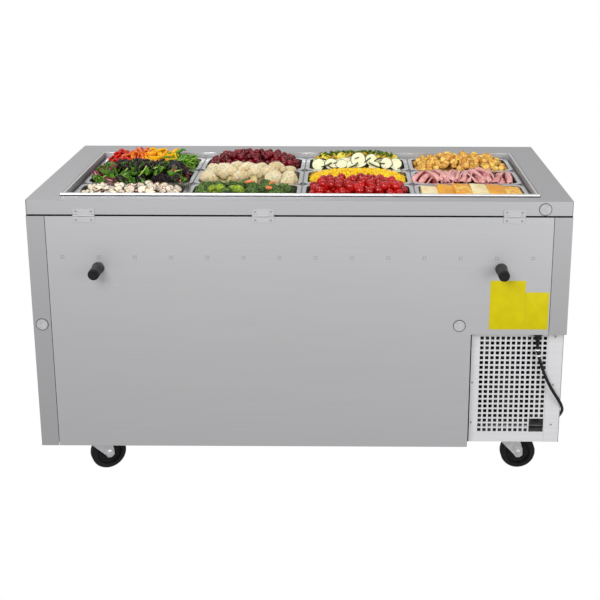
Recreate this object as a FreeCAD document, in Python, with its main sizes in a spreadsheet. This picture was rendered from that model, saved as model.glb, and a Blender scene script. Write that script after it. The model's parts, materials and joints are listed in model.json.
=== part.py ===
import FreeCAD, Part
import math
import os

import Sketcher
from FreeCAD import Placement, Rotation, Vector

# Mobile salad bar: a stainless cabinet on four swivel casters, with a hinged deck that frames a cold well
# of twelve lift-out food pans. Millimetres, +Z up, the floor at Z = 0, the service side facing -Y.
# The origin is under the middle of the bounding box.

DOC = FreeCAD.newDocument("MobileSaladBar")
SHEET = DOC.addObject("Spreadsheet::Sheet", "Dims")

DRIVING = {
    # cabinet
    "overall_width": 1499, "body_depth": 720, "deck_top_height": 838, "deck_thickness": 40,
    "gasket_thickness": 5, "skirt_bottom": 104, "gauge": 1.5, "seam": 1.6,
    "side_flange": 50, "front_flange": 22, "sheet_return": 14,
    # deck opening and its raised edge
    "opening_width": 1316, "opening_depth": 545, "opening_margin": 60, "opening_drop": 33,
    "lip_height": 8, "lip_width": 10, "edge_trim": 2.5, "deck_corner_radius": 6,
    # food pans
    "pan_pitch_x": 325, "pan_pitch_y": 176.6, "pan_rim_x": 321, "pan_rim_y": 172.6, "pan_body_x": 301,
    "pan_body_y": 152.6, "pan_depth": 100, "pan_wall": 1.2, "pan_corner": 26, "pan_foot_radius": 12,
    "pan_rim_drop": 13, "pan_rim_edge": 4,
    # cold well
    "well_floor_drop": 165, "well_corner": 18, "insulation": 38, "tube_gap": 12,
    "support_bar": 13, "support_height": 28, "support_bar_height": 9,
    # machine compartment
    "recess_left": 480, "recess_top": 451, "recess_depth": 34, "hole_pitch": 15, "hole_size": 10,
    "hole_columns": 13, "hole_rows": 20, "field_left": 512, "field_bottom": 137, "post_width": 42,
    "louvre_width": 216, "louvre_height": 296, "louvre_pitch": 19, "louvre_count": 12,
    "louvre_reach": 8.5,
    # bumpers and small fittings
    "bumper_reach": 66, "bumper_tip": 46, "bumper_radius": 15.5, "bumper_post_radius": 11,
    "bumper_x": 558, "bumper_drop": 148, "plug_radius": 16, "hinge_width": 60, "hinge_leaf": 19,
    "hinge_pin_radius": 1.25, "hinge_barrel_radius": 2.6, "running_gap": 0.05,
    # casters
    "caster_x": 606, "caster_inset": 58, "recessed_inset": 86, "swing_room": 46, "wheel_radius": 51,
    "wheel_width": 31, "caster_trail": 34, "fork_gauge": 2.5, "fork_gap": 3, "kingpin_radius": 8,
    "axle_radius": 5, "caster_turn": 26,
    # supply cord
    "cord_radius": 4.5, "cord_coil_radius": 52, "cord_turn_pitch": 9.7,
}

for row, (alias, number) in enumerate(DRIVING.items(), start=1):
    SHEET.set(f"A{row}", alias)
    SHEET.set(f"B{row}", str(number))
    SHEET.setAlias(f"B{row}", alias)
DOC.recompute()


class Size:
    """A length that knows its value and the sheet expression that gives it."""

    def __init__(self, value, text):
        self.value = value
        self.text = text

    def join(self, other, sign, value):
        return Size(value, f"({self.text} {sign} {size(other).text})")

    def __add__(self, other):
        return self.join(other, "+", self.value + size(other).value)

    def __sub__(self, other):
        return self.join(other, "-", self.value - size(other).value)

    def __mul__(self, other):
        return self.join(other, "*", self.value * size(other).value)

    def __truediv__(self, other):
        return self.join(other, "/", self.value / size(other).value)

    def __rsub__(self, other):
        return size(other) - self

    def __neg__(self):
        return size(0) - self

    __radd__ = __add__
    __rmul__ = __mul__

    def __float__(self):
        return float(self.value)


def size(number):
    return number if isinstance(number, Size) else Size(float(number), repr(float(number)))


def dim(alias):
    return Size(float(SHEET.get(alias)), f"Dims.{alias}")


NODES = {}


def keep(node, obj):
    """Names a finished sub-part; its label is the name of its file."""
    obj.Label = node
    NODES[node] = obj
    return obj


def bind(obj, **sizes):
    for prop, length in sizes.items():
        obj.setExpression(prop, size(length).text)
    return obj


def place(obj, at, axis=(0, 0, 1), angle=0.0):
    spot = [size(v) for v in at]
    obj.Placement = Placement(Vector(*[v.value for v in spot]), Rotation(Vector(*axis), angle))
    for letter, v in zip("xyz", spot):
        obj.setExpression(f"Placement.Base.{letter}", v.text)
    return obj


# ---- plain solids and booleans -------------------------------------------------------------------

DIRECTIONS = {"z": ((0, 0, 1), 0), "x": ((0, 1, 0), 90), "y": ((1, 0, 0), -90), "-z": ((1, 0, 0), 180),
              "-y": ((1, 0, 0), 90), "-x": ((0, 1, 0), -90)}


def box(name, low, spans):
    obj = DOC.addObject("Part::Box", name)
    bind(obj, Length=spans[0], Width=spans[1], Height=spans[2])
    return place(obj, low)


def cylinder(name, base, radius, length, way="z"):
    obj = DOC.addObject("Part::Cylinder", name)
    bind(obj, Radius=radius, Height=length)
    return place(obj, base, *DIRECTIONS[way])


def cone(name, base, radius_1, radius_2, length, way="z"):
    obj = DOC.addObject("Part::Cone", name)
    bind(obj, Radius1=radius_1, Radius2=radius_2, Height=length)
    return place(obj, base, *DIRECTIONS[way])


def fuse(name, parts):
    obj = DOC.addObject("Part::MultiFuse", name)
    obj.Shapes = list(parts)
    obj.Refine = True
    return obj


def cut(name, base, *tools):
    obj = DOC.addObject("Part::Cut", name)
    obj.Base = base
    obj.Tool = tools[0] if len(tools) == 1 else fuse(name + "_tools", tools)
    obj.Refine = True
    return obj


def common(name, one, other):
    obj = DOC.addObject("Part::Common", name)
    obj.Base = one
    obj.Tool = other
    return obj


def group(name, parts):
    """Separate solids that share a node."""
    obj = DOC.addObject("Part::Compound", name)
    obj.Links = list(parts)
    return obj


def placed_copy(obj, name, at, axis=(0, 0, 1), angle=0.0):
    """The same piece again, moved and turned."""
    holder = DOC.addObject("Part::Compound", name)
    holder.Links = [obj]
    return place(holder, at, axis, angle)


def rounded(name, base, radius, chosen):
    """Rounds the edges of a solid for which chosen(edge) holds."""
    DOC.recompute()
    obj = DOC.addObject("Part::Fillet", name)
    obj.Base = base
    radius = float(radius)
    obj.Edges = [(n, radius, radius) for n, e in enumerate(base.Shape.Edges, start=1) if chosen(e)]
    return obj


def is_upright(edge):
    return edge.BoundBox.XLength < 0.01 and edge.BoundBox.YLength < 0.01


# ---- sketched bodies -----------------------------------------------------------------------------

def new_body(name):
    return DOC.addObject("PartDesign::Body", name)


def base_plane(body, role):
    return next(f for f in body.Origin.OriginFeatures if f.Role == role)


def sketch(body, name, role, outlines, offset=None):
    """A sketch on one of the body's own planes; each outline is a closed list of bound corner points."""
    obj = body.newObject("Sketcher::SketchObject", name)
    obj.AttachmentSupport = [(base_plane(body, role), "")]
    obj.MapMode = "FlatFace"
    if offset is not None:
        obj.AttachmentOffset = Placement(Vector(0, 0, size(offset).value), Rotation())
        obj.setExpression("AttachmentOffset.Base.z", size(offset).text)
    for outline in outlines:
        if isinstance(outline, dict):
            add_soft_rectangle(obj, **outline)
        else:
            add_polygon(obj, [(size(u), size(v)) for u, v in outline])
    return obj


def hold(obj, way, geometry, point, length):
    """Fixes one coordinate of a sketch point, or a radius, to a sheet expression."""
    target = (geometry,) if way == "Radius" else (-1, 1, geometry, point)
    held = obj.addConstraint(Sketcher.Constraint(way, *target, length.value))
    obj.setExpression(f"Constraints[{held}]", length.text)


def add_polygon(obj, points):
    first, count = len(obj.Geometry), len(points)
    for here, there in zip(points, points[1:] + points[:1]):
        ends = [Vector(u.value, v.value, 0) for u, v in (here, there)]
        obj.addGeometry(Part.LineSegment(*ends), False)
    for n in range(count):
        obj.addConstraint(Sketcher.Constraint("Coincident", first + n, 2, first + (n + 1) % count, 1))
    for n, (u, v) in enumerate(points):
        hold(obj, "DistanceX", first + n, 1, u)
        hold(obj, "DistanceY", first + n, 1, v)


def add_soft_rectangle(obj, centre, halves, radius):
    """Four lines and four tangent arcs of one radius."""
    (cu, cv), (hu, hv), r = [size(c) for c in centre], [size(c) for c in halves], size(radius)
    first = len(obj.Geometry)
    for n in range(4):
        ways = [(1, 0), (0, 1), (-1, 0), (0, -1)]
        along, out = ways[n], ways[n - 1]
        reach_u, reach_v = hu.value - r.value, hv.value - r.value
        side = Vector(cu.value + out[0] * hu.value, cv.value + out[1] * hv.value, 0)
        step = Vector(along[0] * reach_u, along[1] * reach_v, 0)
        obj.addGeometry(Part.LineSegment(side - step, side + step), False)
        hub = Vector(cu.value + (along[0] + out[0]) * reach_u, cv.value + (along[1] + out[1]) * reach_v, 0)
        corner = Part.Circle(hub, Vector(0, 0, 1), r.value)
        turn = math.pi / 2 * (n - 1)
        obj.addGeometry(Part.ArcOfCircle(corner, turn, turn + math.pi / 2), False)
    for n in range(4):
        line, arc, after = first + 2 * n, first + 2 * n + 1, first + (2 * n + 2) % 8
        obj.addConstraint(Sketcher.Constraint("Tangent", line, 2, arc, 1))
        obj.addConstraint(Sketcher.Constraint("Tangent", arc, 2, after, 1))
        obj.addConstraint(Sketcher.Constraint(("Horizontal", "Vertical")[n % 2], line))
        if n:
            obj.addConstraint(Sketcher.Constraint("Equal", first + 1, arc))
    hold(obj, "Radius", first + 1, 0, r)
    hold(obj, "DistanceX", first + 2, 1, cu + hu)
    hold(obj, "DistanceX", first + 6, 1, cu - hu)
    hold(obj, "DistanceY", first, 1, cv - hv)
    hold(obj, "DistanceY", first + 4, 1, cv + hv)


def soft_rectangle(halves, radius, centre=(0, 0)):
    return {"centre": centre, "halves": halves, "radius": radius}


def rectangle(low_u, low_v, span_u, span_v):
    high_u, high_v = low_u + span_u, low_v + span_v
    return [(low_u, low_v), (high_u, low_v), (high_u, high_v), (low_u, high_v)]


def pad(body, name, profile, length, reverse=False, middle=False):
    obj = body.newObject("PartDesign::Pad", name)
    obj.Profile = profile
    bind(obj, Length=length)
    obj.Reversed = reverse
    obj.Midplane = middle
    DOC.recompute()
    return obj


def pocket(body, name, profile, length, reverse=False, middle=False):
    before = body.Shape.Volume
    obj = body.newObject("PartDesign::Pocket", name)
    obj.Profile = profile
    bind(obj, Length=length)
    obj.Reversed = reverse
    obj.Midplane = middle
    DOC.recompute()
    if body.Shape.Volume >= before:
        raise RuntimeError(f"{body.Name}.{name} cuts nothing")
    return obj


def fillet(body, name, radius, chosen):
    tip = body.Tip
    names = [f"Edge{n}" for n, e in enumerate(tip.Shape.Edges, start=1) if chosen(e)]
    obj = body.newObject("PartDesign::Fillet", name)
    obj.Base = (tip, names)
    bind(obj, Radius=radius)
    DOC.recompute()
    return obj


def revolve(body, name, profile, axis):
    obj = body.newObject("PartDesign::Revolution", name)
    obj.Profile = profile
    obj.ReferenceAxis = (profile, [axis])
    DOC.recompute()
    return obj


def repeat(body, name, original, profile, runs):
    """Repeats a feature in one or two straight runs, each (axis, length, count)."""
    obj = body.newObject("PartDesign::MultiTransform", name)
    obj.Originals = [original]
    steps = []
    for axis, length, count in runs:
        step = DOC.addObject("PartDesign::LinearPattern", f"{name}_{axis}")
        step.Direction = (profile, [axis])
        bind(step, Length=length, Occurrences=count)
        steps.append(step)
    obj.Transformations = steps
    body.Tip = obj
    DOC.recompute()
    return obj


# ---- tubes ---------------------------------------------------------------------------------------

def bend_radius(before, corner, after):
    """The arc at a corner of a route: 0.45 of the shorter run over the tangent of half the turn."""
    way_in = (corner - before).normalize()
    way_out = (after - corner).normalize()
    turn = way_in.getAngle(way_out)
    run = min((corner - before).Length, (after - corner).Length)
    return 0.45 * run / math.tan(turn / 2)


def rounded_route(points, cap=None):
    """Straight runs joined by tangent arcs, and the radii of those arcs."""
    edges, radii, start = [], [], points[0]
    for before, corner, after in zip(points, points[1:], points[2:]):
        radius = bend_radius(before, corner, after)
        radius = min(radius, cap) if cap else radius
        radii.append(radius)
        way_in = (corner - before).normalize()
        way_out = (after - corner).normalize()
        turn = way_in.getAngle(way_out)
        back = radius * math.tan(turn / 2)
        enter, leave = corner - way_in * back, corner + way_out * back
        inward = (way_out - way_in).normalize()
        middle = corner + inward * (radius / math.cos(turn / 2) - radius)
        edges.append(Part.LineSegment(start, enter).toShape())
        edges.append(Part.Arc(enter, middle, leave).toShape())
        start = leave
    edges.append(Part.LineSegment(start, points[-1]).toShape())
    return edges, radii


def swept(edges, radius):
    """A round bar along a tangent path: a torus wall on each arc and a cylinder on each straight run."""
    first = edges[0]
    ring = Part.makeCircle(radius, first.Vertexes[0].Point, first.tangentAt(first.FirstParameter))
    walls = [Part.Face(Part.Wire([ring]))]
    for edge in edges:
        start, end = edge.valueAt(edge.FirstParameter), edge.valueAt(edge.LastParameter)
        after = ring.copy()
        if isinstance(edge.Curve, Part.Circle):
            hub = edge.Curve.Center
            axis = (start - hub).cross(edge.tangentAt(edge.FirstParameter))
            turn = math.degrees(edge.Length / edge.Curve.Radius)
            walls.append(ring.revolve(hub, axis, turn))
            after.rotate(hub, axis, turn)
        else:
            walls.append(ring.extrude(end - start))
            after.translate(end - start)
        ring = after
    walls.append(Part.Face(Part.Wire([ring])))
    skin = Part.makeCompound(walls)
    skin.sewShape(0.001)
    solid = Part.Solid(Part.Shell(skin.Faces))
    if solid.Volume < 0:
        solid.reverse()
    return solid, Part.Wire(edges)


def tube(name, points, radius, cap=None):
    obj = DOC.addObject("Part::Feature", name)
    edges, radii = rounded_route([Vector(*[float(v) for v in p]) for p in points], cap)
    solid, path = swept(edges, float(radius))
    obj.Shape = solid
    section = math.pi * float(radius) ** 2
    print(f"{name}: length {path.Length:.1f}, smallest bend {min(radii):.1f}, "
          f"volume over section times length {solid.Volume / section / path.Length:.4f}")
    return obj


# ---- shared levels and faces ---------------------------------------------------------------------

width, gauge = dim("overall_width"), dim("gauge")
half_width = width / 2
near = (dim("bumper_reach") - dim("louvre_reach") - dim("body_depth")) / 2
far = near + dim("body_depth")
deck_top = dim("deck_top_height")
deck_bottom = deck_top - dim("deck_thickness")
body_top = deck_bottom - dim("gasket_thickness")
skirt = dim("skirt_bottom")
floor_level = skirt + 20
body_height = body_top - skirt
recess_left, recess_top = dim("recess_left"), dim("recess_top")
recess_face = near + dim("recess_depth")
opening_near = near + dim("opening_margin")
opening_far = opening_near + dim("opening_depth")
opening_half = dim("opening_width") / 2
rim_top = deck_top - dim("pan_rim_drop")
support_top = rim_top - dim("pan_rim_edge")
hinge_x = (-590, -99, 589)
hinge_y = near - 1.6
hinge_z = body_top + dim("gasket_thickness") / 2
control_x, control_z = recess_left + 60, recess_top + 40


# each caster's side along X, its side along Y, and whether it is photographed swung round
CASTERS = {
    "near_left": (-1, -1, 1), "near_right": (1, -1, 0), "far_left": (-1, 1, 0), "far_right": (1, 1, 0),
}


# ---- cabinet -------------------------------------------------------------------------------------

def side_panel(node, side):
    """A folded side sheet: outer wall, a wide flange on the service side and a narrow one in front."""
    body = new_body("Body_" + node)
    outer, inner = side * half_width, side * (half_width - gauge)
    near_flange = side * (half_width - dim("side_flange"))
    far_flange = side * (half_width - dim("front_flange"))
    profile = [(outer, near), (near_flange, near), (near_flange, near + gauge), (inner, near + gauge),
               (inner, far - gauge), (far_flange, far - gauge), (far_flange, far), (outer, far)]
    pad(body, "Wall_" + node, sketch(body, "Profile_" + node, "XY_Plane", [profile], skirt), body_height)
    return body


def side_panels():
    left = side_panel("left_side_panel", -1)
    keep("left_side_panel", left)
    right = side_panel("right_side_panel", 1)
    notch = rectangle(near - 5, skirt - 5, dim("recess_depth") + 5, recess_top - skirt + 5)
    profile = sketch(right, "Notch_profile", "YZ_Plane", [notch])
    pocket(right, "Notch", profile, width * 2, middle=True)
    keep("right_side_panel", right)


def rear_panel():
    """The service-side sheet between the side flanges, stepped round the machine recess, with the
    recess's own ceiling and left wall folded in from it."""
    body = new_body("Body_rear_panel")
    left = -half_width + dim("side_flange") + dim("seam")
    right = -left
    outline = [(left, skirt), (recess_left, skirt), (recess_left, recess_top), (right, recess_top),
               (right, body_top), (left, body_top)]
    # the XZ plane's normal points to -Y, so its sketches lie at minus their offset along Y
    pad(body, "Sheet_rear", sketch(body, "Outline_rear", "XZ_Plane", [outline], -near), gauge, reverse=True)
    top_return = rectangle(recess_left - gauge, recess_top, right - recess_left + gauge, gauge)
    side_return = rectangle(recess_left - gauge, skirt, gauge, recess_top - skirt + gauge)
    lower_hem = rectangle(left, skirt, recess_left - left, gauge)
    for name, shape, reach in (("Ceiling", top_return, dim("recess_depth")),
                               ("Cheek", side_return, dim("recess_depth")),
                               ("Hem", lower_hem, dim("sheet_return"))):
        profile = sketch(body, name + "_profile", "XZ_Plane", [shape], -near)
        pad(body, name, profile, reach, reverse=True)
    keep("rear_panel", body)


def front_panel():
    """The customer-side sheet, with a framed cut-out for the louvred service panel."""
    body = new_body("Body_front_panel")
    left = -half_width + dim("front_flange") + dim("seam")
    outline = [(left, skirt), (-left, skirt), (-left, body_top), (left, body_top)]
    low_x, low_z = front_louvre_corner()
    holes = [rectangle(low_x + 8, low_z + 8, dim("louvre_width") - 16, dim("louvre_height") - 16),
             rectangle(control_x + 5, control_z + 3, 68, 30),
             rectangle(control_x + 96, control_z + 8, 28, 20)]
    profile = sketch(body, "Outline_front", "XZ_Plane", [outline] + holes, -far)
    pad(body, "Sheet_front", profile, gauge)
    hem = rectangle(left, skirt, -left - left, gauge)
    pad(body, "Hem_front", sketch(body, "Hem_front_profile", "XZ_Plane", [hem], -far), dim("sheet_return"))
    keep("front_panel", body)


def front_louvre_corner():
    return recess_left + 22, skirt + 28


def front_louvre():
    """A screwed-on louvred plate: each blade is pressed outwards and open downwards."""
    low_x, low_z = front_louvre_corner()
    span_x, span_z = dim("louvre_width"), dim("louvre_height")
    body = new_body("Body_front_louvre")
    plate = sketch(body, "Plate_profile", "XZ_Plane", [rectangle(low_x, low_z, span_x, span_z)], -far)
    pad(body, "Plate", plate, gauge, reverse=True)
    slot_low = low_z + 22
    slot = sketch(body, "Slot_profile", "XZ_Plane",
                  [rectangle(low_x + 20, slot_low, span_x - 40, 7)], -far - 10)
    first_slot = pocket(body, "Slot", slot, 40, middle=True)
    run = [("V_Axis", dim("louvre_pitch") * (dim("louvre_count") - 1), dim("louvre_count"))]
    repeat(body, "Slots", first_slot, slot, run)
    hood = sketch(body, "Hood_profile", "YZ_Plane",
                  [[(far + 1, slot_low + 13), (far + dim("louvre_reach"), slot_low + 2),
                    (far + dim("louvre_reach"), slot_low + 0.6), (far + 0.4, slot_low + 11.4)]], low_x + 20)
    first_hood = pad(body, "Hood", hood, span_x - 40)
    repeat(body, "Hoods", first_hood, hood, [("V_Axis", run[0][1], run[0][2])])
    keep("front_louvre", body)


def corner_post():
    """The angle post that carries the grille's free edge and the cabinet's corner."""
    right = half_width - gauge - 0.4
    left = right - dim("post_width")
    height = recess_top - skirt - 1
    face = box("post_face", (left, recess_face, skirt), (right - left, gauge, height))
    back = box("post_side", (right - gauge, recess_face, skirt), (gauge, dim("sheet_return"), height))
    lug = box("post_lug", (left, recess_face, skirt), (right - left, dim("sheet_return"), gauge))
    keep("corner_post", fuse("post", (face, back, lug)))


def rear_grille():
    """The perforated sheet over the machine compartment, with a rectangular access window."""
    body = new_body("Body_rear_grille")
    low_x = recess_left + dim("seam") * 2
    high_x = half_width - gauge - 0.4 - dim("post_width") - 0.4
    sheet = rectangle(low_x, skirt + 0.5, high_x - low_x, recess_top - skirt - 1.5)
    # outer face level with the post's
    profile = sketch(body, "Grille_profile", "XZ_Plane", [sheet], -recess_face)
    pad(body, "Grille_sheet", profile, gauge, reverse=True)
    left, low, pitch, hole = dim("field_left"), dim("field_bottom"), dim("hole_pitch"), dim("hole_size")
    window = rectangle(left + 10 * pitch - 1, low - 1, 2 * pitch + hole + 2, 2 * pitch + hole + 2)
    profile = sketch(body, "Window_profile", "XZ_Plane", [window], -recess_face)
    pocket(body, "Window", profile, gauge * 4, middle=True)
    flange = rectangle(low_x, skirt + 0.5, high_x - low_x, gauge)
    profile = sketch(body, "Grille_foot_profile", "XZ_Plane", [flange], -recess_face)
    pad(body, "Grille_foot", profile, 8, reverse=True)
    hole_profile = sketch(body, "Hole_profile", "XZ_Plane", [rectangle(left, low, hole, hole)], -recess_face)
    first = pocket(body, "Hole", hole_profile, gauge * 4, middle=True)
    columns, rows = dim("hole_columns"), dim("hole_rows")
    repeat(body, "Holes", first, hole_profile,
           [("H_Axis", pitch * (columns - 1), columns), ("V_Axis", pitch * (rows - 1), rows)])
    keep("rear_grille", body)


def base_frame():
    """The pressed base: a tray with turned-down sides, stiffened by two channels over the casters."""
    inside = gauge + 0.5
    low_x, low_y = -half_width + inside, recess_face + dim("sheet_return") + 1.5
    span_x, span_y = width - 2 * inside, far - low_y - dim("sheet_return") - 1
    tray = box("tray_block", (low_x, low_y, skirt + 3), (span_x, span_y, floor_level + 2 - skirt - 3))
    hollow = box("tray_hollow", (low_x + 2, low_y + 2, skirt - 5),
                 (span_x - 4, span_y - 4, floor_level - skirt + 5))
    parts = [cut("tray_shell", tray, hollow)]
    for n, side in enumerate((-1, 1)):
        outer = box(f"channel_{n}", (side * dim("caster_x") - 55, low_y + 1, floor_level + 1),
                    (110, span_y - 2, 18))
        core = box(f"channel_core_{n}", (side * dim("caster_x") - 52, low_y - 5, floor_level + 2),
                   (104, span_y + 10, 14))
        parts.append(cut(f"channel_shell_{n}", outer, core))
    front_rail = box("near_rail", (low_x, near + dim("sheet_return") + 1, skirt + 3),
                     (recess_left - low_x - gauge - 1, 2, floor_level - skirt - 1))
    ledge = box("near_ledge", (low_x, near + dim("sheet_return") + 1, floor_level),
                (recess_left - low_x - gauge - 1, low_y - near - dim("sheet_return") + 1, 2))
    room = []
    for name, (side_x, side_y, _) in CASTERS.items():
        x, y = caster_stem(side_x, side_y)
        low, tall = skirt - 10, floor_level - skirt + 10
        room.append(cylinder(f"swing_room_{name}", (x, y, low), dim("swing_room"), tall))
        room.append(box(f"plate_room_{name}", (x - 49, y - 37, low), (98, 74, tall)))
    keep("base_frame", cut("base", fuse("base_solid", parts + [front_rail, ledge]), *room))


def compartment_divider():
    """The upright sheet between the storage space and the machine compartment, flanged at the foot."""
    foot = floor_level + 2
    top = well_floor - dim("tube_gap") - dim("insulation") - 1
    near_edge, length = recess_face + 22, far - recess_face - 46
    wall = box("divider_wall", (recess_left - 4, near_edge, foot), (gauge, length, top - foot))
    toe = box("divider_toe", (recess_left - 20, near_edge, foot), (16 + gauge, length, gauge))
    keep("compartment_divider", fuse("divider", (wall, toe)))


def top_gasket():
    """The black compression seal between the cabinet and the deck."""
    edge = 1.2
    outer = box("gasket_outer", (-half_width + edge, near + edge, body_top),
                (width - 2 * edge, far - near - 2 * edge, dim("gasket_thickness") - 0.1))
    hole = box("gasket_hole", (-half_width + 22, near + 22, body_top - 5),
               (width - 44, far - near - 44, dim("gasket_thickness") + 10))
    keep("top_gasket", cut("gasket", outer, hole))


# ---- cold well -----------------------------------------------------------------------------------

well_half = opening_half - 2
well_near, well_far = opening_near + 2, opening_far - 2
well_floor = body_top - dim("well_floor_drop")


def well_outline(shrink):
    """The tank's plan, drawn in by so much all round."""
    middle = (well_near + well_far) / 2
    return soft_rectangle((well_half - shrink, (well_far - well_near) / 2 - shrink),
                          dim("well_corner") - shrink, (0, middle))


def well_liner():
    """The coved cold-wall tank, hung from a flange that rests on the cabinet's top edge."""
    body = new_body("Body_well_liner")
    pad(body, "Tank", sketch(body, "Tank_profile", "XY_Plane", [well_outline(0)], well_floor),
        body_top - well_floor)
    plate = rectangle(-half_width + 24, near + 24, width - 48, far - near - 48)
    pad(body, "Flange", sketch(body, "Flange_profile", "XY_Plane", [plate], body_top), gauge, reverse=True)
    profile = sketch(body, "Inner_profile", "XY_Plane", [well_outline(gauge)], body_top)
    pocket(body, "Inner", profile, body_top - well_floor - gauge)
    drain_hole = sketch(body, "Drain_profile", "XY_Plane",
                        [soft_rectangle((13, 13), 12.9, (0, (well_near + well_far) / 2))], well_floor)
    pocket(body, "Drain", drain_hole, 40, middle=True)
    keep("well_liner", body)


def well_insulation():
    """Foamed insulation round the tank, spaced off it by the run of the cold-wall tubing."""
    gap, thick = dim("tube_gap"), dim("insulation")
    low = well_floor - gap - thick
    outer = box("foam_outer", (-well_half - gap - thick, well_near - gap - 24, low),
                ((well_half + gap + thick) * 2, well_far - well_near + 2 * gap + 48,
                 body_top - gauge - low - 1))
    inner = box("foam_inner", (-well_half - gap, well_near - gap, low + thick),
                ((well_half + gap) * 2, well_far - well_near + 2 * gap, dim("well_floor_drop") + 60))
    drain = cylinder("foam_drain", (0, (well_near + well_far) / 2, low - 10), 20, 80)
    keep("well_insulation", cut("foam", outer, inner, drain))


def pan_support():
    """The lift-out grid that stands on the tank's flange and carries the pans by their rims."""
    pitch_x, pitch_y = dim("pan_pitch_x"), dim("pan_pitch_y")
    low_x, low_y = -2 * pitch_x - 4, pans_near() - 1.5
    span_x, span_y = pitch_x * 4 + 8, pitch_y * 3 + 3
    height = dim("support_height")
    block = box("support_block", (low_x, low_y, support_top - height), (span_x, span_y, height))
    bar = dim("support_bar")
    under = box("support_under", (low_x + 2, low_y + 2, support_top - height - 5),
                (span_x - 4, span_y - 4, height + 5 - 2))
    holes = []
    for column in range(4):
        for row_number in range(3):
            x, y = pan_centre(column, row_number)
            holes.append(box(f"support_hole_{column}_{row_number}",
                             (x - pitch_x / 2 + bar / 2, y - pitch_y / 2 + bar / 2, support_top - height - 9),
                             (pitch_x - bar, pitch_y - bar, height + 20)))
    frame = cut("support_frame", block, under, *holes)
    bars = []
    for line in range(1, 4):
        bars.append(box(f"support_bar_x_{line}", (low_x + line * pitch_x + 4 - 1, low_y + 2,
                                                  support_top - dim("support_bar_height")),
                        (2, span_y - 4, dim("support_bar_height"))))
    for line in range(1, 3):
        bars.append(box(f"support_bar_y_{line}", (low_x + 2, low_y + line * pitch_y + 1.5 - 1,
                                                  support_top - dim("support_bar_height")),
                        (span_x - 4, 2, dim("support_bar_height"))))
    keep("pan_support", fuse("support", [frame] + bars))


# ---- food pans -----------------------------------------------------------------------------------

def pans_near():
    return opening_near + (dim("opening_depth") - dim("pan_pitch_y") * 3) / 2


def pan_centre(column, row_number):
    return (dim("pan_pitch_x") * (column - 1.5),
            pans_near() + dim("pan_pitch_y") * (row_number + 0.5))


def drawn_pan():
    """A drawn third-size pan: coved foot and corners, and a flat rim with a turned edge."""
    body = new_body("Body_pan")
    half_x, half_y, wall = dim("pan_body_x") / 2, dim("pan_body_y") / 2, dim("pan_wall")
    rim_x, rim_y = dim("pan_rim_x") / 2, dim("pan_rim_y") / 2
    corner, foot, depth = dim("pan_corner"), dim("pan_foot_radius"), dim("pan_depth")
    edge = dim("pan_rim_edge")

    def outline(half_u, half_v, shrink):
        return soft_rectangle((half_u - shrink, half_v - shrink), corner - shrink)

    def level_edges(level):
        return lambda e: abs(e.BoundBox.ZMax + level.value) < 0.01 and e.BoundBox.ZLength < 0.01

    outer = sketch(body, "Pan_outer", "XY_Plane", [outline(half_x, half_y, 0)])
    pad(body, "Pan_block", outer, depth, reverse=True)
    plate = sketch(body, "Pan_rim_outline", "XY_Plane", [outline(rim_x, rim_y, 0)])
    pad(body, "Pan_rim", plate, wall, reverse=True)
    hem = sketch(body, "Pan_hem_outline", "XY_Plane",
                 [outline(rim_x, rim_y, 0), outline(rim_x, rim_y, wall)])
    pad(body, "Pan_hem", hem, edge, reverse=True)
    inner = sketch(body, "Pan_inner", "XY_Plane", [outline(half_x, half_y, wall)])
    pocket(body, "Pan_hollow", inner, depth - wall)
    fillet(body, "Pan_inner_foot", foot - wall, level_edges(depth - wall))
    fillet(body, "Pan_foot", foot, level_edges(depth))
    return body


def food_pans():
    """Twelve pans off the same tool, each in its own pocket of the grid."""
    pressed = drawn_pan()
    for column in range(4):
        for row_number, row_name in enumerate(("near", "middle", "far")):
            x, y = pan_centre(column, row_number)
            node = f"pan_{row_name}_{column + 1}"
            keep(node, placed_copy(pressed, node + "_placed", (x, y, rim_top)))


# ---- deck ----------------------------------------------------------------------------------------

def deck_panel():
    """The lift-up stainless deck: a top sheet with turned-down skirts outside and round the opening."""
    body = new_body("Body_deck")
    outer = rectangle(-half_width, near, width, far - near)
    profile = sketch(body, "Deck_outline", "XY_Plane", [outer], deck_bottom)
    pad(body, "Deck_block", profile, dim("deck_thickness"))
    fillet(body, "Deck_corners", dim("deck_corner_radius"), is_upright)
    opening = rectangle(-opening_half, opening_near, opening_half * 2, opening_far - opening_near)
    profile = sketch(body, "Opening_outline", "XY_Plane", [opening], deck_top)
    pocket(body, "Opening", profile, 200, middle=True)
    under = [rectangle(-half_width + gauge, near + gauge, width - 2 * gauge, far - near - 2 * gauge),
             rectangle(-opening_half - gauge, opening_near - gauge, opening_half * 2 + 2 * gauge,
                       opening_far - opening_near + 2 * gauge)]
    profile = sketch(body, "Under_outline", "XY_Plane", under, deck_bottom)
    pocket(body, "Under", profile, dim("deck_thickness") - gauge, reverse=True)
    trim = rectangle(-opening_half - 2 * gauge, opening_near - 2 * gauge, opening_half * 2 + 4 * gauge,
                     opening_far - opening_near + 4 * gauge)
    profile = sketch(body, "Drop_outline", "XY_Plane", [trim], deck_bottom)
    pocket(body, "Drop", profile, dim("deck_thickness") - dim("opening_drop"), reverse=True)
    keep("deck_top", body)


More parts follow.
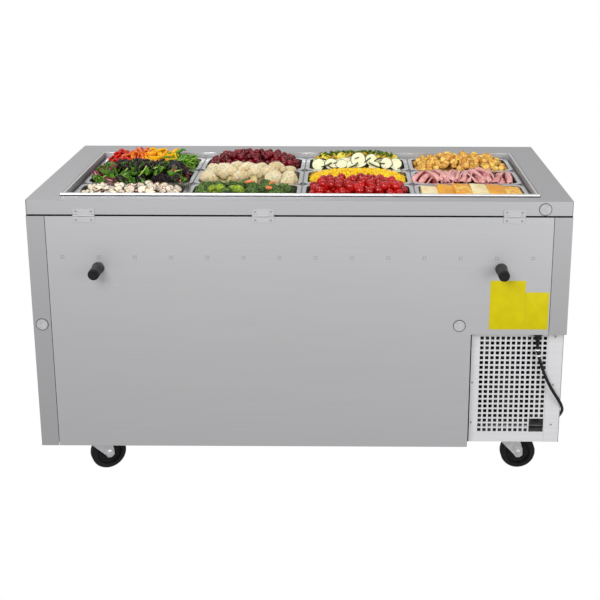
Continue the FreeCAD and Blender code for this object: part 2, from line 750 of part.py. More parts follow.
def deck_lip():
    """The welded marine edge round the opening, tall along the service side and low on the others."""
    low, tall, bar, trim = deck_top, dim("lip_height"), dim("lip_width"), dim("edge_trim")
    side = 6
    tall_bar = box("lip_bar", (-opening_half - side, opening_near - bar - 2, low),
                   ((opening_half + side) * 2, bar, tall))
    rolled = rounded("lip_rolled", tall_bar, bar.value * 0.45,
                     lambda e: e.BoundBox.XLength > 100 and e.BoundBox.ZMin > float(low) + 1)
    outer = box("trim_outer", (-opening_half - side, opening_near - bar * 0.5 - 2, low),
                ((opening_half + side) * 2, opening_far - opening_near + bar * 0.5 + 2 + side, trim))
    inner = box("trim_inner", (-opening_half, opening_near - 1, low - 5),
                (opening_half * 2, opening_far - opening_near + 1, trim + 20))
    keep("deck_lip", fuse("lip", (rolled, cut("trim", outer, inner))))


def barrel(name, x, z_leaf, span):
    """One knuckle of a hinge, with the bore that its pin turns in."""
    solid = cylinder(name, (x, hinge_y, hinge_z), dim("hinge_barrel_radius"), span, "x")
    web = box(name + "_web", (x, near - 2 - 0.2, hinge_z if z_leaf > 0 else hinge_z - dim("hinge_leaf")),
              (span, 2, dim("hinge_leaf")))
    return solid, web


def hinge_leaf(name, x, up):
    """Half of one butt hinge: a screwed plate, its knuckles and their bore. The lower half has two."""
    half, third = dim("hinge_width") / 2, dim("hinge_width") * 0.25
    if up:
        starts, span = [x - third + 0.3], third * 2 - 0.6
    else:
        starts, span = [x - half, x + third], half - third
    parts = []
    reach = dim("hinge_leaf")
    for n, start in enumerate(starts):
        parts.extend(barrel(f"{name}_knuckle_{n}", start, 1 if up else -1, span))
    clear = 3.1
    low = hinge_z + clear if up else hinge_z - reach
    parts.append(box(name + "_plate", (x - half, near - 2.2, low), (half * 2, 2, reach - clear)))
    bore = cylinder(name + "_bore", (x - half - 5, hinge_y, hinge_z),
                    dim("hinge_pin_radius") + dim("running_gap"), half * 2 + 10, "x")
    return cut(name, fuse(name + "_solid", parts), bore)


def screw(name, x, y, z, radius=3.4, way="-y"):
    """The low head of a screw."""
    return cone(name + "_head", (x, y, z), radius, radius * 0.65, 1.6, way)


def hinges():
    """Three butt hinges; each pin stays with the lower leaf."""
    lower = [hinge_leaf(f"lower_leaf_{n}", x, False) for n, x in enumerate(hinge_x)]
    upper = [hinge_leaf(f"upper_leaf_{n}", x, True) for n, x in enumerate(hinge_x)]
    pins = [cylinder(f"hinge_pin_{n}", (x - dim("hinge_width") / 2, hinge_y, hinge_z),
                     dim("hinge_pin_radius"), dim("hinge_width"), "x") for n, x in enumerate(hinge_x)]
    keep("hinge_lower_leaves", group("lower_leaves", lower + pins))
    keep("hinge_upper_leaves", group("upper_leaves", upper))
    keep("hinge_upper_screws", group("upper_screws", hinge_screws(1)))


def hinge_screws(side):
    return [screw(f"hinge_screw_{side}_{n}_{s}", x + s * 21, near - 2.2, hinge_z + side * 12)
            for n, x in enumerate(hinge_x) for s in (-1, 1)]


# ---- fittings on the service side ----------------------------------------------------------------

def wall_bumpers():
    posts, tips = [], []
    level = body_top - dim("bumper_drop")
    reach, tip = dim("bumper_reach"), dim("bumper_tip")
    for n, side in enumerate((-1, 1)):
        x = side * dim("bumper_x")
        base = cylinder(f"bumper_base_{n}", (x, near, level), 17, 4, "-y")
        stem = cylinder(f"bumper_stem_{n}", (x, near, level), dim("bumper_post_radius"), reach - tip, "-y")
        posts.append(fuse(f"bumper_post_{n}", (base, stem)))
        sleeve = cylinder(f"bumper_sleeve_{n}", (x, near - reach + tip, level), dim("bumper_radius"), tip,
                          "-y")
        tips.append(rounded(f"bumper_tip_{n}", sleeve, 4,
                            lambda e: e.BoundBox.YMax < float(near - reach) + 0.1))
    keep("bumper_posts", group("posts", posts))
    keep("bumper_tips", group("tips", tips))


def hole_plug(name, x, z):
    """A snap-in plug: a shallow dome with a rim."""
    flange = cylinder(name + "_flange", (x, near, z), dim("plug_radius"), 1.6, "-y")
    crown = cylinder(name + "_crown", (x, near - 1.5, z), dim("plug_radius") - 3, 1.4, "-y")
    return fuse(name, (flange, crown))


def hole_plugs():
    level = body_top - 316
    keep("body_plugs", group("plugs", [hole_plug("plug_flange", -half_width + 25, level),
                                       hole_plug("plug_panel", recess_left - 33, level)]))
    keep("deck_plug", hole_plug("plug_deck", half_width - 77, deck_top - 22))


def panel_screws():
    """Screws of the lower hinge leaves, the grille's left flange and the corner post."""
    heads = hinge_screws(-1)
    for n, part in enumerate((0.985, 0.56, 0.2)):
        z = skirt + (recess_top - skirt) * part - 8
        heads.append(screw(f"grille_screw_{n}", recess_left + 13, recess_face, z))
        heads.append(screw(f"post_screw_{n}", half_width - 24, recess_face, z - 6))
    keep("panel_screws", group("screws", heads))


# ---- refrigeration -------------------------------------------------------------------------------

deck_of_unit = floor_level + 19.5
unit_x = recess_left + 118
unit_y = recess_face + 190


def condensing_unit():
    """The slide-out condensing unit: tray, hermetic compressor, finned coil, cowl, motor and blade."""
    low_x, low_y = recess_left + 8, recess_face + 24
    span_x, span_y = 226, far - recess_face - 54
    tray = box("unit_tray_plate", (low_x, low_y, deck_of_unit), (span_x, span_y, 2))
    rails = [box(f"unit_rail_{n}", (low_x + n * (span_x - 2), low_y, deck_of_unit), (2, span_y, 16))
             for n in range(2)]
    keep("condensing_tray", fuse("unit_tray", [tray] + rails))

    base = deck_of_unit + 2
    waist = cylinder("shell_waist", (unit_x, unit_y - 70, base + 46), 72, 100)
    dome = cone("shell_dome", (unit_x, unit_y - 70, base + 146), 72, 44, 26)
    belly = cone("shell_belly", (unit_x, unit_y - 70, base + 46), 72, 52, 24, "-z")
    band = cylinder("shell_seam", (unit_x, unit_y - 70, base + 92), 75, 6)
    bracket = box("shell_bracket", (unit_x - 92, unit_y - 132, base + 16), (184, 124, 8))
    terminal = box("terminal_box", (unit_x - 24, unit_y - 152, base + 70), (48, 26, 54))
    feet = [cylinder(f"shell_foot_{n}", (unit_x + a * 78, unit_y - 70 + b * 48, base), 11, 16)
            for n, (a, b) in enumerate(((-1, -1), (1, -1), (-1, 1), (1, 1)))]
    body = fuse("compressor_solid", (waist, dome, belly, band, bracket, terminal))
    keep("compressor", group("compressor_group", [body] + feet))

    coil_y = far - 74
    coil_low = base + 4
    core = box("coil_core", (unit_x - 94, coil_y, coil_low), (188, 40, 214))
    slots = [box(f"coil_slot_{n}", (unit_x - 88 + n * 9, coil_y - 5, coil_low - 5), (7, 9, 230))
             for n in range(20)]
    plates = [box(f"coil_end_{n}", (unit_x - 99 + n * 196, coil_y - 2, coil_low - 4), (2, 44, 222))
              for n in range(2)]
    bends = [cylinder(f"coil_bend_{r}_{n}", (unit_x - 104 + n * 203, coil_y + 20, coil_low + 22 + 34 * r),
                      7, 5, "x") for r in range(6) for n in range(2)]
    filler = box("coil_filler", (unit_x - 98, coil_y + 6, coil_low + 4), (196, 30, 206))
    keep("condenser_coil", fuse("coil", [cut("coil_finned", core, *slots), filler] + plates + bends))

    hub_z = coil_low + 108
    cowl_y = coil_y - 26
    frame = box("cowl_frame", (unit_x - 96, cowl_y, coil_low - 4), (192, 22, 222))
    throat = cylinder("cowl_throat", (unit_x, cowl_y - 10, hub_z), 87, 60, "y")
    ring = cut("cowl_ring", cylinder("cowl_collar", (unit_x, cowl_y - 12, hub_z), 91, 14, "y"),
               cylinder("cowl_collar_bore", (unit_x, cowl_y - 20, hub_z), 87, 40, "y"))
    hollow = box("cowl_hollow", (unit_x - 94, cowl_y + 2, coil_low - 2), (188, 30, 218))
    keep("fan_shroud", fuse("cowl", (cut("cowl_shell", frame, throat, hollow), ring)))

    motor_y = cowl_y - 86
    can = cylinder("motor_can", (unit_x, motor_y, hub_z), 36, 54, "y")
    shaft = cylinder("motor_shaft", (unit_x, motor_y + 50, hub_z), 3, 46, "y")
    leg = box("motor_leg", (unit_x - 14, motor_y + 12, base), (28, 3, 92))
    toe = box("motor_toe", (unit_x - 22, motor_y + 12, base), (44, 30, 3))
    keep("fan_motor", fuse("motor", (can, shaft, leg, toe)))

    fan_blade(hub_z, motor_y + 62)
    refrigerant_lines(base, coil_y, coil_low)


def fan_blade(hub_z, hub_y):
    """A pressed axial fan: five pitched blades with swept round tips on a bored hub."""
    ring_outer = cylinder("blade_reach", (unit_x, hub_y - 6, hub_z), 80, 40, "y")
    hub = cylinder("blade_hub", (unit_x, hub_y, hub_z), 17, 24, "y")
    blades = [hub]
    for n in range(5):
        blade = DOC.addObject("Part::Box", f"blade_{n}")
        bind(blade, Length=95, Width=1.8, Height=48)
        turn = Rotation(Vector(0, 1, 0), 72 * n)
        pitch = Rotation(Vector(1, 0, 0), 62)
        centre = Vector(float(unit_x), float(hub_y) + 12, float(hub_z))
        blade.Placement = Placement(centre, turn.multiply(pitch)).multiply(
            Placement(Vector(0, -0.9, -24), Rotation()))
        blades.append(common(f"blade_tip_{n}", blade, ring_outer))
    bore = cylinder("blade_bore", (unit_x, hub_y - 10, hub_z), 3 + dim("running_gap"), 60, "y")
    keep("fan_blade", cut("fan_bored", fuse("fan_solid", blades), bore))


def refrigerant_lines(base, coil_y, coil_low):
    """The discharge line to the coil, and the liquid line with its filter drier."""
    x, y = float(unit_x), float(unit_y)
    low, back = float(base), float(coil_y)
    shell_top = low + 172
    parts = [tube("discharge_line", [(x + 18, y - 70, shell_top), (x + 18, y - 70, shell_top + 34),
                                     (x + 70, y - 20, shell_top + 60), (x + 108, y + 50, shell_top + 60),
                                     (x + 112, back - 50, shell_top + 50), (x + 112, back + 12, low + 205)],
                  3.2, 16)]
    drier_z = low + 262
    parts.append(fuse("drier", (cylinder("drier_can", (x - 96, y - 20, drier_z), 13, 90, "y"),
                                cone("drier_nose", (x - 96, y + 70, drier_z), 13, 4, 14, "y"),
                                cone("drier_tail", (x - 96, y - 20, drier_z), 13, 4, 14, "-y"))))
    parts.append(tube("liquid_line", [(x - 96, y + 86, drier_z), (x - 96, y + 116, drier_z),
                                      (x - 107, back - 30, drier_z - 60),
                                      (x - 107, back + 10, drier_z - 110)], 3.2, 14))
    keep("refrigerant_lines", group("circuit", parts))


def drain():
    """The tank's drain tail, down through the base."""
    y = (well_near + well_far) / 2
    pipe = cylinder("drain_tail", (0, y, floor_level + 30), 12, well_floor - floor_level - 30 + 1)
    bore = cylinder("drain_bore", (0, y, floor_level + 20), 10.4, well_floor - floor_level + 10)
    rim = cone("drain_rim", (0, y, well_floor + gauge), 12, 18, 2)
    hollow_rim = cut("drain_rim_cut", rim, cylinder("drain_rim_bore", (0, y, well_floor), 10.4, 10))
    collar = cylinder("drain_collar", (0, y, well_floor - 1), 12, 3)
    bored = cut("drain_collar_cut", collar, cylinder("drain_collar_bore", (0, y, well_floor - 5), 10.4, 10))
    keep("drain_pipe", fuse("drain", (cut("drain_tube", pipe, bore), hollow_rim, bored)))


def controls():
    """The wiring box in the machine compartment, and the thermostat and switch on the louvred side."""
    low_x = recess_left + 24
    case = box("wiring_case", (low_x, recess_face + 30, recess_top - 42), (120, 60, 38))
    soft = rounded("wiring_soft", case, 5, is_upright)
    keep("electrical_box", soft)

    face_x, face_z = control_x, control_z
    bezel = rounded("bezel", box("bezel_block", (face_x, far, face_z), (78, 5, 36)), 3,
                    lambda e: e.BoundBox.YLength > 4 and e.BoundBox.XLength < 0.1)
    window = box("display_recess", (face_x + 8, far + 3.6, face_z + 9), (38, 10, 18))
    can = box("thermostat_can", (face_x + 6, far - 48, face_z + 4), (66, 49, 28))
    keep("thermostat", fuse("thermostat_solid", (cut("bezel_cut", bezel, window), can)))
    rocker_switch(face_x + 110, face_z + 18)


def rocker_switch(x, z):
    """A rocker in its snap-in frame; the rocker turns on a short pin through its middle."""
    frame = box("switch_frame_block", (x - 16, far, z - 12), (32, 3, 24))
    barrel_part = box("switch_barrel", (x - 13.5, far - 26, z - 9.5), (27, 27, 19))
    well = box("switch_well", (x - 12, far - 9, z - 7.3), (24, 22, 14.6))
    pin = cylinder("switch_pin", (x, far - 2, z - 9), 1.5, 18)
    shell = cut("switch_shell", fuse("switch_solid", (frame, barrel_part)), well)
    keep("switch_frame", fuse("switch_body", (shell, pin)))
    body = new_body("Body_rocker")
    shape = [(x - 10.5, far - 2), (x - 9.5, far + 1), (x, far + 3), (x + 9.5, far + 6.5), (x + 11, far + 2),
             (x + 3, far - 5), (x - 3, far - 5)]
    pad(body, "Rocker", sketch(body, "Rocker_profile", "XY_Plane", [shape], z - 7), 14)
    bore = cylinder("rocker_bore", (x, far - 2, z - 12), 1.5 + dim("running_gap"), 30)
    keep("power_rocker", cut("rocker", body, bore))


# ---- casters -------------------------------------------------------------------------------------

def caster_stem(side_x, side_y):
    """Where a kingpin stands; the one under the machine recess is set further in, behind the grille."""
    if side_y > 0:
        y = far - dim("caster_inset")
    else:
        y = near + (dim("caster_inset") if side_x < 0 else dim("recessed_inset"))
    return side_x * dim("caster_x"), y


fork_top = floor_level - 8


def caster_plates():
    """The fixed half of each caster: a bolted plate, the bearing race under it and the kingpin."""
    parts = []
    for name, (side_x, side_y, _) in CASTERS.items():
        x, y = caster_stem(side_x, side_y)
        block = box(f"plate_block_{name}", (x - 47, y - 35, floor_level - 3), (94, 70, 3))
        plate = rounded(f"plate_{name}", block, 8, is_upright)
        race = cylinder(f"race_{name}", (x, y, floor_level - 7.7), 26, 6)
        pin = cylinder(f"kingpin_{name}", (x, y, fork_top - 12), dim("kingpin_radius"), 16)
        nut = cylinder(f"kingpin_nut_{name}", (x, y, fork_top - 12), 12.5, 7)
        parts.append(fuse(f"caster_plate_{name}", (plate, race, pin, nut)))
    keep("caster_plates", group("plates", parts))


def caster_fork():
    """A pressed yoke: a dished crown on the kingpin and two tapered legs that trail to the axle."""
    body = new_body("Body_fork")
    trail, reach = dim("caster_trail"), dim("wheel_width") / 2 + dim("fork_gap")
    sheet, axle = dim("fork_gauge"), dim("wheel_radius")
    leg = [(-31, fork_top), (31, fork_top), (trail + 12, axle + 14), (trail + 13, axle - 6),
           (trail + 5, axle - 13), (trail - 6, axle - 13), (trail - 13, axle - 3), (-31, fork_top - 14)]
    pad(body, "Yoke", sketch(body, "Leg_profile", "XZ_Plane", [leg]), (reach + sheet) * 2, middle=True)
    gap = rectangle(-80, -10, 260, fork_top - sheet + 10)
    pocket(body, "Gap", sketch(body, "Gap_profile", "XZ_Plane", [gap]), reach * 2, middle=True)
    crown = cylinder("crown", (0, 0, fork_top - sheet), 33, sheet)
    bore = cylinder("crown_bore", (0, 0, fork_top - 20), dim("kingpin_radius") + dim("running_gap"), 60)
    overhang = reach + sheet + 3
    axle_pin = cylinder("axle", (trail, -overhang, axle), dim("axle_radius"), overhang * 2, "y")
    heads = []
    for side, way in ((1, "y"), (-1, "-y")):
        head = DOC.addObject("Part::Prism", f"axle_nut_{way}")
        head.Polygon = 6
        bind(head, Circumradius=9, Height=5)
        heads.append(place(head, (trail, side * (reach + sheet), axle), *DIRECTIONS[way]))
    return cut("fork", fuse("fork_solid", [body, crown, axle_pin] + heads), bore)


def caster_wheel():
    """A moulded wheel: crowned tread, dished web and a long bored hub."""
    body = new_body("Body_wheel")
    half, radius = dim("wheel_width") / 2, dim("wheel_radius")
    bore, hub = dim("axle_radius") + dim("running_gap"), dim("fork_gap") - 0.5
    side = [(bore, half + hub), (13, half + hub), (13, 5), (36, 5), (36, half), (radius - 5, half),
            (radius, half - 6)]
    profile = [(u, -v) for u, v in side] + side[::-1]
    section = sketch(body, "Wheel_profile", "XY_Plane", [profile])
    revolve(body, "Wheel_turned", section, "V_Axis")
    return body


def casters():
    caster_plates()
    fork = caster_fork()
    wheel = placed_copy(caster_wheel(), "wheel_on_axle", (dim("caster_trail"), 0, dim("wheel_radius")))
    for name, (side_x, side_y, swung) in CASTERS.items():
        x, y = caster_stem(side_x, side_y)
        angle = dim("caster_turn").value * swung
        for piece, made in (("fork", fork), ("wheel", wheel)):
            keep(f"{piece}_{name}", placed_copy(made, f"{piece}_{name}_placed", (x, y, 0), angle=angle))


# ---- supply cord ---------------------------------------------------------------------------------

def cord_exit():
    return Vector(672, float(near) + 18, float(recess_top) - 30)


def cord_route():
    """Out of the recess's ceiling, round the cabinet's corner, down its side and under it to the coil."""
    n = float(near)
    return [cord_exit()] + [Vector(x, n + y, z) for x, y, z in (
        (672, 18, 396), (681, 16, 366), (692, 14, 334), (706, 12, 302), (724, 12, 270), (745, 18, 238),
        (759, 40, 205), (762, 82, 170), (763, 130, 136), (762, 178, 102), (760, 226, 68), (756, 272, 36),
        (752, 318, 12))]


def spiral_point(centre, turn, drawn_in, radius, lift):
    angle = 2 * math.pi * turn
    r = radius - drawn_in
    return centre + Vector(r * math.cos(angle), r * math.sin(angle), lift)


def biarc(p, t, q, u):
    """Two arcs that join p heading t to q heading u without a kink."""
    v, s = q - p, t + u
    k = 2 * (1 - t.dot(u))
    vs = v.dot(s)
    d = (-vs + math.sqrt(vs * vs + k * v.dot(v))) / k if k > 1e-9 else v.dot(v) / (4 * v.dot(u))
    middle = (p + q + (t - u) * d) * 0.5
    return [arc_from(p, t, middle), arc_from(middle, (middle - (p + t * d)).normalize(), q)]


def arc_from(start, heading, end):
    chord = end - start
    along = Vector(chord).normalize()
    side = heading - along * heading.dot(along)
    angle = heading.getAngle(along)
    middle = (start + end) * 0.5 + side.normalize() * (chord.Length / 2 * math.tan(angle / 2))
    return Part.Arc(start, middle, end).toShape()


def supply_cord():
    """The mains cord: a tapered relief, the free stretch, the stored coil and a moulded plug."""
    top = cord_exit()
    nut = cylinder("relief_nut", (top.x, top.y, recess_top - 8), 13, 8)
    boot = cone("relief_boot", (top.x, top.y, top.z), dim("cord_radius") + 0.9, 8, recess_top - 8 - top.z)
    keep("strain_relief", fuse("relief", (nut, boot)))

    route = cord_route()
    start, heading, wound, end, way_out = coil_path()
    free, radii = rounded_route(route + [start - heading * 34, start])
    solid, path = swept(free + wound, float(dim("cord_radius")))
    lead = DOC.addObject("Part::Feature", "cord_whole")
    lead.Shape = solid
    section = math.pi * float(dim("cord_radius")) ** 2
    print(f"supply_cord: length {path.Length:.1f}, of which coiled {Part.Wire(wound).Length:.1f}, "
          f"smallest free bend {min(radii):.1f}, least gap in the coil {coil_gap(wound):.2f}, "
          f"volume over section times length {solid.Volume / section / path.Length:.4f}")
    keep("supply_cord", lead)
    plug(end, way_out)


COIL_HALF_TURNS = 10
COIL_FLARE = 21


def coil_path():
    """Five turns in two layers: spiralling in on the floor, up a layer, and out again."""
    r0, step = float(dim("cord_coil_radius")), float(dim("cord_turn_pitch"))
    lift, floor = step, float(dim("cord_radius"))
    centre = Vector(684, float(near) + 404, floor)
    first = 0.0
    quarters = COIL_HALF_TURNS * 2
    middle = quarters / 2
    widest = r0 + step * quarters / 16

    def at(quarter):
        """Position on the coil after so many quarter turns."""
        if quarter <= middle - 1:
            drawn, up = step * quarter / 4, 0.0
        elif quarter >= middle + 1:
            flare = max(0.0, quarter - quarters + 2)
            drawn, up = step * (quarters - quarter) / 4 - COIL_FLARE * flare * flare / 4, lift
        else:
            part = (quarter - middle + 1) / 2
            drawn = step * (middle - 1 + math.sin(math.pi * part) ** 2) / 4
            up = lift * part * part * (3 - 2 * part)
        return spiral_point(centre, first + quarter / 4, drawn, widest, up)

    small = 1e-3
    nodes = [at(q) for q in range(quarters + 1)]
    ways = [(at(q + small) - at(q - small)).normalize() for q in range(quarters + 1)]
    edges = []
    run = 2 * float(dim("cord_radius"))
    start = nodes[0] - ways[0] * run
    edges.append(Part.LineSegment(start, nodes[0]).toShape())
    for n in range(quarters):
        edges.extend(biarc(nodes[n], ways[n], nodes[n + 1], ways[n + 1]))
    end = nodes[-1] + ways[-1] * run
    edges.append(Part.LineSegment(nodes[-1], end).toShape())
    return start, ways[0], edges, end, ways[-1]


def coil_gap(edges):
    """The least distance between the walls of turns that lie side by side."""
    diameter = 2 * float(dim("cord_radius"))
    path = Part.Wire(edges)
    points = path.discretize(Distance=4)
    apart = [(a - b).Length for i, a in enumerate(points) for b in points[i + 12:]]
    return min(apart) - diameter


def plug(end, heading):
    """A straight moulded plug on the floor: grip, face and three blades."""
    length, half_width_plug, half_height = 34, 14, 13
    turn = math.degrees(math.atan2(heading.y, heading.x))
    grip = rounded("plug_grip", box("plug_block", (14, -half_width_plug, -half_height),
                                    (length, half_width_plug * 2, half_height * 2)), 5,
                   lambda e: e.BoundBox.XLength > 20)
    neck = cone("plug_neck", (0, 0, 0), 5.4, 9, 15, "x")
    blades = [box(f"plug_blade_{n}", (14 + length - 1, side * 6.4 - 0.8, -1), (19, 1.6, 6.4))
              for n, side in enumerate((-1, 1))]
    pin = cylinder("plug_earth", (14 + length - 1, 0, -7.4), 2.4, 22, "x")
    whole = fuse("plug_solid", [grip, neck] + blades + [pin])
    keep("plug", placed_copy(whole, "plug_placed", end, angle=turn))


# ---- build ---------------------------------------------------------------------------------------

def check(obj, name):
    if "Invalid" in obj.State or "Error" in obj.State:
        raise RuntimeError(f"{name} failed: {obj.State}")


def build():
    base_frame()
    rear_panel()
    side_panels()
    front_panel()
    front_louvre()
    corner_post()
    rear_grille()
    compartment_divider()
    top_gasket()
    well_liner()
    well_insulation()
    pan_support()
    food_pans()
    deck_panel()
    deck_lip()
    hinges()
    wall_bumpers()
    hole_plugs()
    panel_screws()
    condensing_unit()
    drain()
    controls()
    casters()
    supply_cord()
    DOC.recompute()


build()
for item in DOC.Objects:
    check(item, item.Label)
for node, item in NODES.items():
    if item.Shape.isNull() or not item.Shape.isValid():
        raise RuntimeError(f"{node} has no valid shape")
os.makedirs("parts", exist_ok=True)
for node, item in NODES.items():
    item.Shape.exportStep(f"parts/{node}.step")
print(f"{len(NODES)} sub-parts written")
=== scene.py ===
# Mobile salad bar: looks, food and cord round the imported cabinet. Metres, +Z up, the service side at -Y.

import json
import math
import random

import bmesh
import bpy
from mathutils import Euler, Matrix, Vector, noise


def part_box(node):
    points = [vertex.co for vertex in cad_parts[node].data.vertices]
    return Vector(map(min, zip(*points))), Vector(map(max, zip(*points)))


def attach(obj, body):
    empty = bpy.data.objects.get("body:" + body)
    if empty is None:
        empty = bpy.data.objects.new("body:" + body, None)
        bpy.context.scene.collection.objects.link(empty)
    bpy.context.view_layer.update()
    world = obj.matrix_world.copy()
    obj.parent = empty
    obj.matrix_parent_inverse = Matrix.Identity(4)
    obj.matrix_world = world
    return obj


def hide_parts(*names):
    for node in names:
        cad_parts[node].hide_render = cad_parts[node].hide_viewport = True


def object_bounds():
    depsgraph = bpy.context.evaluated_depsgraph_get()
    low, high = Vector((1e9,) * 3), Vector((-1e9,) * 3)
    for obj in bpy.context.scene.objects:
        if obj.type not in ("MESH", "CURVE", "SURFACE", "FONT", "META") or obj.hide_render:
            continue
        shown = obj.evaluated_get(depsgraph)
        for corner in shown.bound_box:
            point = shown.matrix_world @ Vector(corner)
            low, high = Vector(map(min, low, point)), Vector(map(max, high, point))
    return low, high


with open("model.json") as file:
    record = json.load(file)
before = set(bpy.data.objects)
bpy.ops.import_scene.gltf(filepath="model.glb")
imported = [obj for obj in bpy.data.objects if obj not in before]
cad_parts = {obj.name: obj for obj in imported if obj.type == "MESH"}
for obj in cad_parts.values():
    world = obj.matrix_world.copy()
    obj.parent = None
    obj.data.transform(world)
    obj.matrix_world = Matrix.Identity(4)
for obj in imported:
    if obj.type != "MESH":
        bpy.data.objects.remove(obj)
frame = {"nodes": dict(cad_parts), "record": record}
cad_box = [list(corner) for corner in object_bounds()]
nodes = frame["nodes"]
near_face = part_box("rear_panel")[0].y

AS_IT_IS = Matrix.Identity(4)
UPRIGHT = Matrix.Rotation(math.pi / 2, 3, "X")


# ---- camera ----

# angles in radians; the photo's side, the focal length and the principal point in its pixels
PHOTO_SIDE = 600
CAMERA_PLACE = (0.1235, -3.2121, 1.6007)
CAMERA_YAW, CAMERA_PITCH, CAMERA_ROLL = 0.0042, 0.2532, 0.0022
CAMERA_FOCAL = 1093.8
CAMERA_CENTRE = (340, 195)
SENSOR_WIDTH = 36
CLIP_NEAR, CLIP_FAR = 0.05, 50


def set_camera():
    """A pin-hole camera at the photo's place."""
    data = bpy.data.cameras.new("camera")
    data.sensor_width = SENSOR_WIDTH
    data.lens = CAMERA_FOCAL / PHOTO_SIDE * data.sensor_width
    data.shift_x = (PHOTO_SIDE / 2 - CAMERA_CENTRE[0]) / PHOTO_SIDE
    data.shift_y = (CAMERA_CENTRE[1] - PHOTO_SIDE / 2) / PHOTO_SIDE
    data.clip_start, data.clip_end = CLIP_NEAR, CLIP_FAR
    level = Vector((-math.sin(CAMERA_YAW), math.cos(CAMERA_YAW), 0))
    side = Vector((math.cos(CAMERA_YAW), math.sin(CAMERA_YAW), 0))
    up = Vector((0, 0, 1))
    ahead = level * math.cos(CAMERA_PITCH) - up * math.sin(CAMERA_PITCH)
    above = level * math.sin(CAMERA_PITCH) + up * math.cos(CAMERA_PITCH)
    right = side * math.cos(CAMERA_ROLL) + above * math.sin(CAMERA_ROLL)
    top = above * math.cos(CAMERA_ROLL) - side * math.sin(CAMERA_ROLL)
    camera = bpy.data.objects.new("camera", data)
    bpy.context.scene.collection.objects.link(camera)
    turn = Matrix((right, top, -ahead)).transposed()
    camera.matrix_world = Matrix.Translation(CAMERA_PLACE) @ turn.to_4x4()
    bpy.context.scene.camera = camera


set_camera()


# ---- supply cord ----

CORD_RADIUS = 0.0045
CORD_PITCH = 0.0097
COIL_CENTRE = (0.684, near_face + 0.404)
COIL_RADIUS = 0.052
COIL_QUARTERS = 20
FLARE_QUARTERS, COIL_FLARE = 2, 0.021
COIL_RUN_IN = 0.034
STEP_ALONG = 0.001
# corners of the free stretch in millimetres: along X, behind the near face, above the floor
FREE_STRETCH = [(672, 18, 421), (672, 18, 396), (681, 16, 366), (692, 14, 334), (706, 12, 302),
                (724, 12, 270), (745, 18, 238), (759, 40, 205), (762, 82, 170), (763, 130, 136),
                (762, 178, 102), (760, 226, 68), (756, 272, 36), (752, 318, 12)]


def coil_point(quarter):
    """Position on the stored coil after so many quarter turns: in on the floor, up a layer, out again."""
    middle = COIL_QUARTERS / 2
    turns_in = COIL_QUARTERS / 8
    widest = COIL_RADIUS + CORD_PITCH * turns_in / 2
    if quarter <= middle - 1:
        drawn, up = CORD_PITCH * quarter / 4, 0.0
    elif quarter >= middle + 1:
        flare = max(0.0, quarter - COIL_QUARTERS + FLARE_QUARTERS) / FLARE_QUARTERS
        drawn = CORD_PITCH * (COIL_QUARTERS - quarter) / 4 - COIL_FLARE * flare * flare
        up = CORD_PITCH
    else:
        part = (quarter - middle + 1) / 2
        drawn = CORD_PITCH * (middle - 1 + math.sin(math.pi * part) ** 2) / 4
        up = CORD_PITCH * part * part * (3 - 2 * part)
    angle = math.pi / 2 * quarter
    reach = widest - drawn
    return Vector((COIL_CENTRE[0] + reach * math.cos(angle), COIL_CENTRE[1] + reach * math.sin(angle),
                   CORD_RADIUS + up))


def cord_points():
    """The free stretch's corners, then the coil at a sixteenth of a turn, then a short straight end."""
    points = [Vector((x / 1000, near_face + y / 1000, z / 1000)) for x, y, z in FREE_STRETCH]
    first, last = coil_point(0), coil_point(COIL_QUARTERS)
    points.append(first - (coil_point(STEP_ALONG) - first).normalized() * COIL_RUN_IN)
    points += [coil_point(n / 4) for n in range(COIL_QUARTERS * 4 + 1)]
    points.append(last + (last - coil_point(COIL_QUARTERS - STEP_ALONG)).normalized() * 2 * CORD_RADIUS)
    return points


def make_cord():
    points = cord_points()
    data = bpy.data.curves.new("supply_lead", "CURVE")
    data.dimensions = "3D"
    data.bevel_depth = 1  # the radius at each point sets the cord's own
    data.bevel_resolution = 4
    data.resolution_u = 6
    data.use_fill_caps = True
    spline = data.splines.new("NURBS")
    spline.points.add(len(points) - 1)
    for target, point in zip(spline.points, points):
        target.co = (*point, 1)
        target.radius = CORD_RADIUS
    spline.order_u = 3
    spline.use_endpoint_u = True
    lead = bpy.data.objects.new("supply_lead", data)
    bpy.context.scene.collection.objects.link(lead)
    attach(lead, "cabinet")
    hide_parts("supply_cord")
    tuple(points[0])
    return lead


lead = make_cord()


# ---- light ----

WHITE = (1, 1, 1, 1)
STUDIO_STRENGTH = 0.75
STUDIO_FLOOR = (0.55, 0.55, 0.56, 1)
# share of the way from straight down to straight up, and the grey there
STUDIO_BANDS = ((0.42, 0.62), (0.55, 0.86), (0.75, 0.7))
# name, place, aim, size in metres, power in watts
LIGHTS = (("key", (-1.0, -3.7, 2.6), (0, 0, 0.5), 1.8, 112),
          ("fill", (2.6, -3.2, 1.6), (0, 0, 0.4), 2.4, 60),
          ("top", (-0.6, 0.9, 3.0), (0, 0, 0.8), 1.2, 12))


